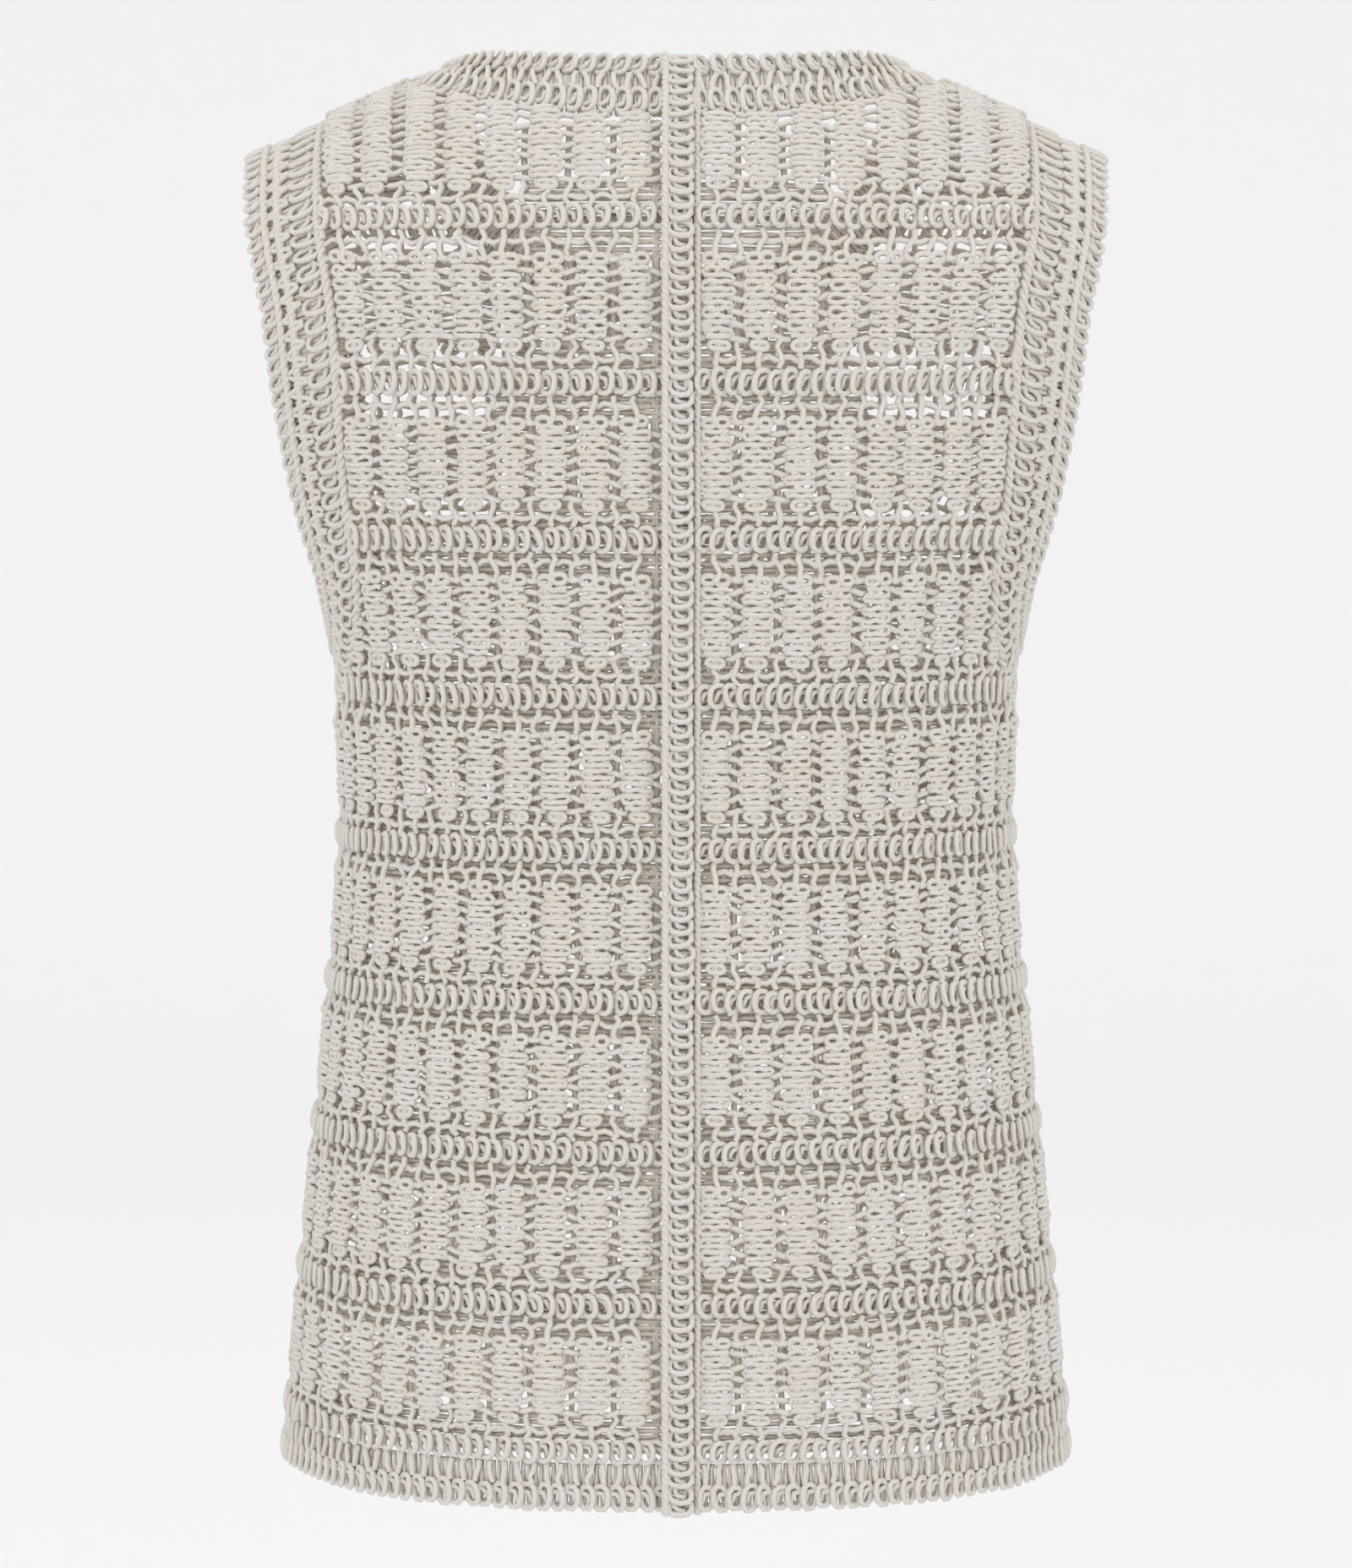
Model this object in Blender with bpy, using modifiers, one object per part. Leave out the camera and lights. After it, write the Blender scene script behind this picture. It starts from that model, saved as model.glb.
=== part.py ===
"""Crochet top: a sleeveless top of thick cotton cord, hollow and open, as it hangs when worn.

Frame: metres, +Z up, X to the right as the back is faced, the back towards -Y.
The origin lies midway between the high shoulder points, at the height of the shoulder seams.
Every piece is a wall on one shared form.  A place on the form is given by
    column: stitch columns counted outwards from the centre line (0 to COLUMNS),
    height: z in metres,
    face:   BACK or FRONT.
"""
import math

import bmesh
import bpy
import numpy as np

# ---------------------------------------------------------------- driving sizes
NAME = "crochet_top"
WALL = 0.0030            # thickness of the crocheted wall
BAND_WALL = 0.0026       # thickness of the lapped centre band
SEAM = 0.0003            # half of the gap between pieces at a seam
NECK_END = 0.0016        # half of the gap between the neck bands' middle surfaces
NECK_GAP = 0.0008        # gap between a panel and the neck band, whose walls lean apart
LAP_LIFT = 0.0032        # the centre band lies this far outside the panels' middle surface

COLUMNS = 12             # stitch columns from the centre line to the side seam
ARM_COLUMN = 8           # the column at which the armhole edge runs upright
CENTRE_STRIP = 0.0105    # from the centre line to the first column
SECTION_POWER = 2.4      # superellipse power of the sections, a little flatter than an ellipse

NECK_HALF = 0.0975       # centre line to the high neck point
NECK_RISE = 0.008        # height of the high neck point
NECK_BACK = -0.001       # height of the neck edge at the centre back
NECK_FRONT = -0.088      # height of the neck edge at the centre front
NECK_WIDTH = 0.025       # width of the neck band
SHOULDER_Z = 0.003       # height of the shoulder seam at the high neck point
SHOULDER_SLOPE = 0.425   # fall of the shoulder seam per metre outwards
SHOULDER_ROUND = 0.110   # height over which the wall turns in to the shoulder seam

ARM_BOTTOM = -0.291      # armhole edge of the panels at the side seam
ARM_STRAIGHT = -0.225    # above this height the armhole edge runs straight up
ARM_BAND = 0.042         # width of the armhole band beside the shoulder blade
ARM_BAND_UNDER = 0.0385  # width of the armhole band under the arm

HEM_TOP = -0.6092        # seam between the panels and the hem band
HEM_BOTTOM = -0.6296     # lower edge of the hem band

CENTRE_BAND_LEFT = -0.0053   # edges of the centre band, from the centre line
CENTRE_BAND_RIGHT = 0.0082

FLUTE_COLUMN = 9.3       # a soft upright trough in the flared skirt
FLUTE_WIDTH = 1.3        # its half width, in columns
FLUTE_DEPTH = 0.0055     # its depth at the hem
FLUTE_TOP = -0.36        # the height at which it fades out

BACK, FRONT = -1.0, 1.0

# ---------------------------------------------------------------- grid of the walls
WELD = 0.00002                   # points closer than this are one point
TOP_DROP = 1.4e-6                # drop that leaves a panel's top edge just short of the seam
TOP_GUESS = -0.03                # a height near the shoulder seam, to start from
SETTLING_STEPS = 12              # rounds in which a crossing of two lines is found
LOW_NECK_RUN = 0.03              # height of the last rows below a low neck edge
TOP_ROWS = 8                     # rows of points over the shoulder
UNDERARM_LINES = 6
NECK_LINES = (4.5, 5.4, 5.75)     # further upright lines where the neck edge turns most
NECK_CORNER_COLUMN = 6.12        # the line that meets the corner of neck band and shoulder
NECK_SHARES = list(np.linspace(0.0, 1.0, 61))
ARM_REACHES = list(np.linspace(2 * SEAM, ARM_BAND, 4))
SLOPE_STEP = 0.001               # half of the width over which a seam's slope is read
LEAN_STEP = 0.002                # half of the height over which the wall's lean is read
HEM_LEVELS = list(np.linspace(HEM_BOTTOM, HEM_TOP - SEAM, 3))
SKIRT_LEVELS = list(np.linspace(HEM_TOP + SEAM, ARM_BOTTOM - 0.010, 10))
UNDERARM_LEVELS = list(np.linspace(ARM_BOTTOM - 0.010, ARM_STRAIGHT, 4))[1:]

# height, half width, depth of the back, depth of the front, pitch of the middle columns
SECTIONS = (
    (0.030, 0.236, 0.086, 0.066, 0.0188),
    (-0.040, 0.230, 0.096, 0.080, 0.0186),
    (-0.075, 0.223, 0.100, 0.088, 0.0184),
    (-0.110, 0.212, 0.103, 0.096, 0.0177),
    (-0.150, 0.199, 0.105, 0.104, 0.0175),
    (-0.200, 0.180, 0.106, 0.111, 0.0174),
    (-0.2525, 0.1585, 0.106, 0.114, 0.0171),
    (-0.300, 0.1525, 0.105, 0.111, 0.0169),
    (-0.345, 0.1520, 0.105, 0.107, 0.0168),
    (-0.420, 0.1580, 0.113, 0.109, 0.0172),
    (-0.520, 0.1685, 0.124, 0.116, 0.0178),
    (-0.640, 0.1805, 0.135, 0.125, 0.0184),
)

# kind of piece: colour, roughness
MATERIALS = {
    "panel": ((0.70, 0.665, 0.62, 1.0), 0.90),
    "band": ((0.72, 0.69, 0.645, 1.0), 0.88),
}


# ---------------------------------------------------------------- the form
def section_row(height):
    """Half width, back depth, front depth and column pitch at a height, on a smooth curve."""
    rows = SECTIONS
    last = len(rows) - 2
    k = 0
    while k < last and height < rows[k + 1][0]:
        k += 1
    before, here = rows[max(k - 1, 0)], rows[k]
    after, beyond = rows[k + 1], rows[min(k + 2, len(rows) - 1)]
    span = after[0] - here[0]
    t = min(max((height - here[0]) / span, 0.0), 1.0)
    values = []
    for i in range(1, len(here)):
        slope_in = (after[i] - before[i]) / (after[0] - before[0])
        slope_out = (beyond[i] - here[i]) / (beyond[0] - here[0])
        values.append(
            here[i] * (1 - t) ** 2 * (1 + 2 * t)
            + after[i] * t * t * (3 - 2 * t)
            + span * (slope_in * t * (1 - t) ** 2 - slope_out * t * t * (1 - t))
        )
    return values


def section_curve(height, face):
    """Places along one quarter section: lengths from the centre line, x, and inward share."""
    half, back, front, _pitch = section_row(height)
    depth = back if face == BACK else front
    angle = np.linspace(0.0, math.pi / 2, 65)
    x = half * np.sin(angle) ** (2 / SECTION_POWER)
    share = np.cos(angle) ** (2 / SECTION_POWER)
    share[-1] = 0.0
    steps = np.hypot(np.diff(x), np.diff(share * depth))
    return np.concatenate(([0.0], np.cumsum(steps))), x, share * depth


def side_length(height, face):
    """Length of the quarter section from the centre line to the side seam."""
    return section_curve(height, face)[0][-1]


def length_at(column, height, face):
    """Length along the section at which a stitch column lies."""
    if column < 0:
        return CENTRE_STRIP + column * CENTRE_STRIP
    pitch = section_row(height)[3]
    full = side_length(min(height, ARM_BOTTOM), face)
    spare = full - CENTRE_STRIP - COLUMNS * section_row(min(height, ARM_BOTTOM))[3]
    outer = max(column - 6.0, 0.0) / (COLUMNS - 6.0)
    return CENTRE_STRIP + pitch * column + spare * outer ** 2


def shoulder_height(x):
    """Height of the shoulder seam, carried over the neck as a low crown."""
    across = abs(x)
    if across >= NECK_HALF:
        return SHOULDER_Z - SHOULDER_SLOPE * (across - NECK_HALF)
    crown = SHOULDER_SLOPE * NECK_HALF / 2
    return SHOULDER_Z + crown * (1 - (across / NECK_HALF) ** 2)


def turn_in(drop):
    """Share of the depth reached at a drop below the shoulder seam."""
    left = 1 - min(max(drop, 0.0) / SHOULDER_ROUND, 1.0)
    return math.sqrt(max(1 - left * left, 0.0))


def flute(column, height):
    """Depth of the soft trough in the skirt."""
    grow = min(max((FLUTE_TOP - height) / (FLUTE_TOP - HEM_BOTTOM), 0.0), 1.0)
    return FLUTE_DEPTH * grow * math.exp(-(((column - FLUTE_COLUMN) / FLUTE_WIDTH) ** 2))


def place(length, height, face, trough=0.0):
    """The point of the middle surface at a length along the section and a height."""
    lengths, xs, depths = section_curve(height, face)
    x = float(np.interp(abs(length), lengths, xs))
    depth = float(np.interp(abs(length), lengths, depths))
    depth *= turn_in(shoulder_height(x) - height)
    return (math.copysign(x, length), face * (depth - trough), height)


def column_point(column, height, face):
    """The point of the middle surface at a stitch column."""
    return place(length_at(column, height, face), height, face, flute(column, height))


# ---------------------------------------------------------------- edges
def neck_edge(share, face):
    """x and height of the neck's opening edge, from the centre (0) to the shoulder (1)."""
    if face == BACK:
        x = NECK_HALF * share
        return x, NECK_BACK + (NECK_RISE - NECK_BACK) * share ** 2.2
    angle = share * math.pi / 2
    drop = (NECK_FRONT - NECK_RISE) * math.cos(angle)
    return NECK_HALF * math.sin(angle) ** 0.9, NECK_RISE + drop


def neck_seam(share, face):
    """x and height of the seam between the neck band and a panel."""
    outer = NECK_HALF + NECK_WIDTH
    end = shoulder_height(outer)
    if face == BACK:
        x = outer * share
        return x, NECK_BACK - NECK_WIDTH + (end - NECK_BACK + NECK_WIDTH) * share ** 2.4
    angle = share * math.pi / 2
    drop = (NECK_FRONT - NECK_WIDTH - end) * math.cos(angle)
    return outer * math.sin(angle) ** 0.9, end + drop


def neck_seam_height(x, face):
    """Height of the neck seam above a given x."""
    pairs = [neck_seam(share, face) for share in NECK_SHARES]
    return float(np.interp(x, [p[0] for p in pairs], [p[1] for p in pairs]))


def arm_edge(turn, reach, height, face):
    """Length and height of an armhole line, at a distance `reach` outside the panel's edge.

    `turn` runs from 0, at the foot of the straight part, to 1, at the side seam;
    along the straight part `turn` is 0 and `height` is free.
    """
    angle = turn * math.pi / 2
    if turn <= 0:
        return length_at(ARM_COLUMN, height, face) + reach, height
    low = ARM_BOTTOM - ARM_STRAIGHT + reach * ARM_BAND_UNDER / ARM_BAND
    z = ARM_STRAIGHT + low * math.sin(angle)
    start = length_at(ARM_COLUMN, ARM_STRAIGHT, face) + reach
    side = side_length(z, face)
    return start + (side - start) * (1 - math.cos(angle)), z


def drop_levels(count, last):
    """Drops below the shoulder seam, evenly turned, from the full depth up to the last one."""
    if last + LOW_NECK_RUN > SHOULDER_ROUND:
        return list(np.linspace(last + LOW_NECK_RUN, last, count))
    start = math.acos(1 - last / SHOULDER_ROUND)
    return [SHOULDER_ROUND * (1 - math.cos(a)) for a in np.linspace(math.pi / 2, start, count)]


# ---------------------------------------------------------------- mesh helpers
def material(name, kind):
    """A new cloth material for one piece."""
    colour, roughness = MATERIALS[kind]
    made = bpy.data.materials.new(f"{name}_{kind}")
    made.use_nodes = True
    shader = made.node_tree.nodes["Principled BSDF"]
    shader.inputs["Base Color"].default_value = colour
    shader.inputs["Roughness"].default_value = roughness
    shader.inputs["Metallic"].default_value = 0.0
    return made


def make_wall(name, kind, blocks, thickness=WALL, mirror=False):
    """A wall around a surface given as blocks of rows of points, welded where they meet."""
    mesh = bpy.data.meshes.new(name)
    shape = bmesh.new()
    for rows in blocks:
        grid = [[shape.verts.new(point) for point in row] for row in rows]
        for row, following in zip(grid, grid[1:]):
            for a, b, c, d in zip(row, row[1:], following[1:], following):
                shape.faces.new((a, b, c, d))
    bmesh.ops.remove_doubles(shape, verts=shape.verts, dist=WELD)
    bmesh.ops.recalc_face_normals(shape, faces=shape.faces)
    shape.to_mesh(mesh)
    shape.free()
    mesh.shade_smooth()
    mesh.materials.append(material(name, kind))
    wall = bpy.data.objects.new(name, mesh)
    collection.objects.link(wall)
    if mirror:
        across = wall.modifiers.new("both_halves", "MIRROR")
        across.merge_threshold = WELD
    solid = wall.modifiers.new("wall", "SOLIDIFY")
    solid.thickness = thickness
    solid.offset = 0.0
    return wall


def sided(rows, side):
    """The rows on the left (-1) or right (+1) half."""
    return [[(side * x, y, z) for x, y, z in row] for row in rows]


# ---------------------------------------------------------------- panels
def neck_crossing(at, face):
    """The x at which an upright line meets the neck seam, or None where it misses the neck."""
    height = TOP_GUESS
    for _ in range(SETTLING_STEPS):
        x = abs(at(height)[0])
        if x >= NECK_HALF + NECK_WIDTH:
            return None
        height = (height + neck_seam_height(x, face)) / 2
    return x


def top_drop(at, face):
    """Drop from the shoulder seam to the top end of an upright line of a panel."""
    x = neck_crossing(at, face)
    if x is None:
        return TOP_DROP
    rise = neck_seam_height(x + SLOPE_STEP, face) - neck_seam_height(x - SLOPE_STEP, face)
    gap = NECK_GAP * math.hypot(1.0, rise / (2 * SLOPE_STEP))
    return max(shoulder_height(x) - neck_seam_height(x, face) + gap, TOP_DROP)


def inner_line(at, face):
    """Points up one upright line between the centre and the armhole edge."""
    points = [at(height) for height in SKIRT_LEVELS + UNDERARM_LEVELS]
    for level in drop_levels(TOP_ROWS, top_drop(at, face)):
        height = TOP_GUESS
        for _ in range(SETTLING_STEPS):
            height = shoulder_height(abs(at(height)[0])) - level
        points.append(at(height))
    return points


def outer_line(turn, face):
    """Points up one upright line under the arm, at a turn along the armhole's curve."""
    top_length, top_height = arm_edge(turn, -SEAM, ARM_STRAIGHT, face)
    column = ARM_COLUMN + (COLUMNS - ARM_COLUMN) * (1 - math.cos(turn * math.pi / 2))
    points = [column_point(column, height, face) for height in SKIRT_LEVELS]
    count = len(UNDERARM_LEVELS)
    for k in range(1, count + 1):
        height = SKIRT_LEVELS[-1] + (top_height - SKIRT_LEVELS[-1]) * k / count
        length = length_at(column, height, face)
        length += (top_length - length) * k / count
        points.append(place(length, height, face, flute(column, height)))
    return points


def make_panel(name, face, first_length, sides, mirror=False):
    """One panel, from a first length beside the centre line out to the side seam."""
    lines = [inner_line(lambda height: place(first_length, height, face), face)]
    for column in sorted([*range(ARM_COLUMN + 1), *NECK_LINES, NECK_CORNER_COLUMN]):
        lines.append(inner_line(lambda height, c=column: column_point(c, height, face), face))
    under = [outer_line(turn, face) for turn in np.linspace(0.0, 1.0, UNDERARM_LINES)]
    under[-1] = [(x, y + face * SEAM, z) for x, y, z in under[-1]]
    # the underarm block starts on the last upright line
    shared = len(SKIRT_LEVELS) + len(UNDERARM_LEVELS)
    under[0] = lines[-1][:shared]
    blocks = [sided(lines, sides), sided(under, sides)]
    return make_wall(name, "panel", blocks, mirror=mirror)


# ---------------------------------------------------------------- bands
def make_hem_band(name, face, first_length, side, mirror=False):
    """One stretch of the hem band, from the centre to the side seam."""
    lines = [[place(first_length, z, face) for z in HEM_LEVELS]]
    for column in range(COLUMNS + 1):
        gap = face * SEAM if column == COLUMNS else 0.0
        points = [column_point(column, z, face) for z in HEM_LEVELS]
        lines.append([(x, y + gap, z) for x, y, z in points])
    return make_wall(name, "band", [sided(lines, side)], mirror=mirror)


def neck_line(share, face, first_x):
    """Points across the neck band at one share of the way from the centre to the shoulder."""
    (x0, z0), (x1, z1) = neck_seam(share, face), neck_edge(share, face)
    points = []
    for across in np.linspace(0.0, 1.0, 4):
        x = max(x0 + (x1 - x0) * across, first_x)
        z = z0 + (z1 - z0) * across
        ridge = shoulder_height(x)
        if share >= 1:
            # the shoulder end leans outwards, so it stops short of the other half
            points.append((x, face * NECK_END, max(z, ridge) if across else ridge))
            continue
        half, back, front, _pitch = section_row(z)
        depth = (back if face == BACK else front)
        depth *= max(1 - (x / half) ** SECTION_POWER, 0.0) ** (1 / SECTION_POWER)
        points.append((x, face * max(depth * turn_in(ridge - z), SEAM), z))
    return points


def make_neck_band(name, face, first_x, side, mirror=False):
    """One stretch of the neck band, from the centre to the shoulder seam."""
    seam = [neck_seam(share, face)[0] for share in NECK_SHARES]
    shares = [0.0]
    for column in sorted([*range(ARM_COLUMN), *NECK_LINES]):
        x = neck_crossing(lambda height, c=column: column_point(c, height, face), face)
        if x is not None:
            shares.append(float(np.interp(x, seam, NECK_SHARES)))
    shares.append(1.0)
    lines = [neck_line(share, face, first_x) for share in shares]
    return make_wall(name, "band", [sided(lines, side)], mirror=mirror)


def arm_line(face, turn):
    """Points across the armhole band, from the panel's edge to the opening."""
    places = [arm_edge(turn, reach, ARM_STRAIGHT, face) for reach in ARM_REACHES]
    return [place(length, height, face) for length, height in places]


def arm_band_half(face):
    """Rows of the armhole band on one face, from the side seam up to the shoulder seam."""
    rows = [arm_line(face, turn) for turn in np.linspace(1.0, 0.0, UNDERARM_LINES)]
    for level in drop_levels(TOP_ROWS, TOP_DROP):
        row = []
        for reach in ARM_REACHES:
            height = TOP_GUESS
            for _ in range(SETTLING_STEPS):
                length = length_at(ARM_COLUMN, height, face) + reach
                height = shoulder_height(place(length, height, face)[0]) - level
            row.append(place(length, height, face))
        rows.append(row)
    rows[-1] = [(x, 0.0, z) for x, _y, z in rows[-1]]
    return rows


def make_arm_band(name, side):
    """The band round one armhole, a closed ring across the side and shoulder seams."""
    blocks = [sided(arm_band_half(face), side) for face in (BACK, FRONT)]
    # both faces share the shoulder points
    for inner in range(len(blocks[0][-1])):
        first, second = blocks[0][-1][inner], blocks[1][-1][inner]
        shared = tuple((a + b) / 2 for a, b in zip(first, second))
        blocks[0][-1][inner] = shared
        blocks[1][-1][inner] = shared
    return make_wall(name, "band", blocks)


def make_centre_band():
    """The band laid over the meeting edges of the two back halves."""
    levels = [HEM_BOTTOM - SEAM] + HEM_LEVELS + SKIRT_LEVELS + UNDERARM_LEVELS
    drops = drop_levels(TOP_ROWS, top_drop(lambda height: place(0.0, height, BACK), BACK))
    levels += [shoulder_height(0.0) - drop for drop in drops]
    levels += [z for _x, _y, z in neck_line(0.0, BACK, 0.0)][1:]
    levels[-1] += SEAM
    lines = []
    for length in (CENTRE_BAND_LEFT, 0.0, CENTRE_BAND_RIGHT):
        line = []
        for height in levels:
            x, y, z = place(length, height, BACK)
            below = place(length, height - LEAN_STEP, BACK)
            above = place(length, height + LEAN_STEP, BACK)
            lean = math.atan2(above[1] - below[1], above[2] - below[2])
            line.append((x, y - LAP_LIFT * math.cos(lean), z + LAP_LIFT * math.sin(lean)))
        lines.append(line)
    return make_wall("centre_back_band", "band", [lines], thickness=BAND_WALL)


def build():
    """Make every piece."""
    make_panel("back_left", BACK, SEAM, -1)
    make_panel("back_right", BACK, SEAM, 1)
    make_panel("front", FRONT, 0.0, 1, mirror=True)
    make_centre_band()
    make_neck_band("neck_band_back_left", BACK, SEAM, -1)
    make_neck_band("neck_band_back_right", BACK, SEAM, 1)
    make_neck_band("neck_band_front", FRONT, 0.0, 1, mirror=True)
    make_arm_band("armhole_band_left", -1)
    make_arm_band("armhole_band_right", 1)
    make_hem_band("hem_band_back_left", BACK, SEAM, -1)
    make_hem_band("hem_band_back_right", BACK, SEAM, 1)
    make_hem_band("hem_band_front", FRONT, 0.0, 1, mirror=True)


for old in list(bpy.data.objects):
    bpy.data.objects.remove(old, do_unlink=True)
collection = bpy.data.collections.new(NAME)
bpy.context.scene.collection.children.link(collection)
build()
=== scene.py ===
"""Looks of the crochet top: every stitch as real cord, worked on the form that the frame gives."""
import logging
import math
from collections.abc import Callable
from dataclasses import dataclass, field
from enum import Enum

import bpy
import numpy as np
from mathutils import Matrix, Vector


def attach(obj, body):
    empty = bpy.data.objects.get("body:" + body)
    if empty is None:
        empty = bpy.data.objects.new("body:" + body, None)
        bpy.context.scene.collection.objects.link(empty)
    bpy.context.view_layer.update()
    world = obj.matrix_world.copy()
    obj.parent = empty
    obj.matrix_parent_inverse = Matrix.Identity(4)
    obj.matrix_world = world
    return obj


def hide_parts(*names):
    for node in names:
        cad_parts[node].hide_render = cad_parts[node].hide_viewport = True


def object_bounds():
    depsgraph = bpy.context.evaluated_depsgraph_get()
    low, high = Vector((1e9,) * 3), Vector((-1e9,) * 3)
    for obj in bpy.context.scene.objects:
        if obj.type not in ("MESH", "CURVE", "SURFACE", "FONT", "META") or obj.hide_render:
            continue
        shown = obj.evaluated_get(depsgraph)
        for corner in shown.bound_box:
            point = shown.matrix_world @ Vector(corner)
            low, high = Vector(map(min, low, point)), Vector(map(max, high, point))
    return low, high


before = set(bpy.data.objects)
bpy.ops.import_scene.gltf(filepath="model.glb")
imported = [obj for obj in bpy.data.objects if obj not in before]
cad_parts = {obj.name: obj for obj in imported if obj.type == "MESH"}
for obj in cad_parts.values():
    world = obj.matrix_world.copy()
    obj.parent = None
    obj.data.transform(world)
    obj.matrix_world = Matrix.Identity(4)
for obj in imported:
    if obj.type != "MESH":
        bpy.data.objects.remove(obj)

CAD_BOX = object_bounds()
HALF_WIDTH = (CAD_BOX[1][0] - CAD_BOX[0][0]) / 2
HALF_DEPTH = (CAD_BOX[1][1] - CAD_BOX[0][1]) / 2
MIDDLE_DEPTH = (CAD_BOX[0][1] + CAD_BOX[1][1]) / 2
BODY = "root"
CORD_RADIUS = 0.00140
CENTRE_COLUMN_HALF = 0.6
BACK_NECK_POWER = 2.4
FRONT_NECK_POWER = 0.9
TINY = 1e-12
log = logging.getLogger("crochet_top")


class Face(Enum):
    """The two sides of the top; the value is the sign of Y."""

    BACK = -1
    FRONT = 1


# ---------------------------------------------------------------- the form
@dataclass(frozen=True)
class Section:
    """One level of the form: half width, depths, and the pitch of the middle columns."""

    height: float
    half_width: float
    back: float
    front: float
    pitch: float


SECTIONS = (
    Section(0.030, 0.236, 0.086, 0.066, 0.0188),
    Section(-0.040, 0.230, 0.096, 0.080, 0.0186),
    Section(-0.075, 0.223, 0.100, 0.088, 0.0184),
    Section(-0.110, 0.212, 0.103, 0.096, 0.0177),
    Section(-0.150, 0.199, 0.105, 0.104, 0.0175),
    Section(-0.200, 0.180, 0.106, 0.111, 0.0174),
    Section(-0.2525, 0.1585, 0.106, 0.114, 0.0171),
    Section(-0.300, 0.1525, 0.105, 0.111, 0.0169),
    Section(-0.345, 0.1520, 0.105, 0.107, 0.0168),
    Section(-0.420, 0.1580, 0.113, 0.109, 0.0172),
    Section(-0.520, 0.1685, 0.124, 0.116, 0.0178),
    Section(-0.640, 0.1805, 0.135, 0.125, 0.0184),
)


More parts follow.
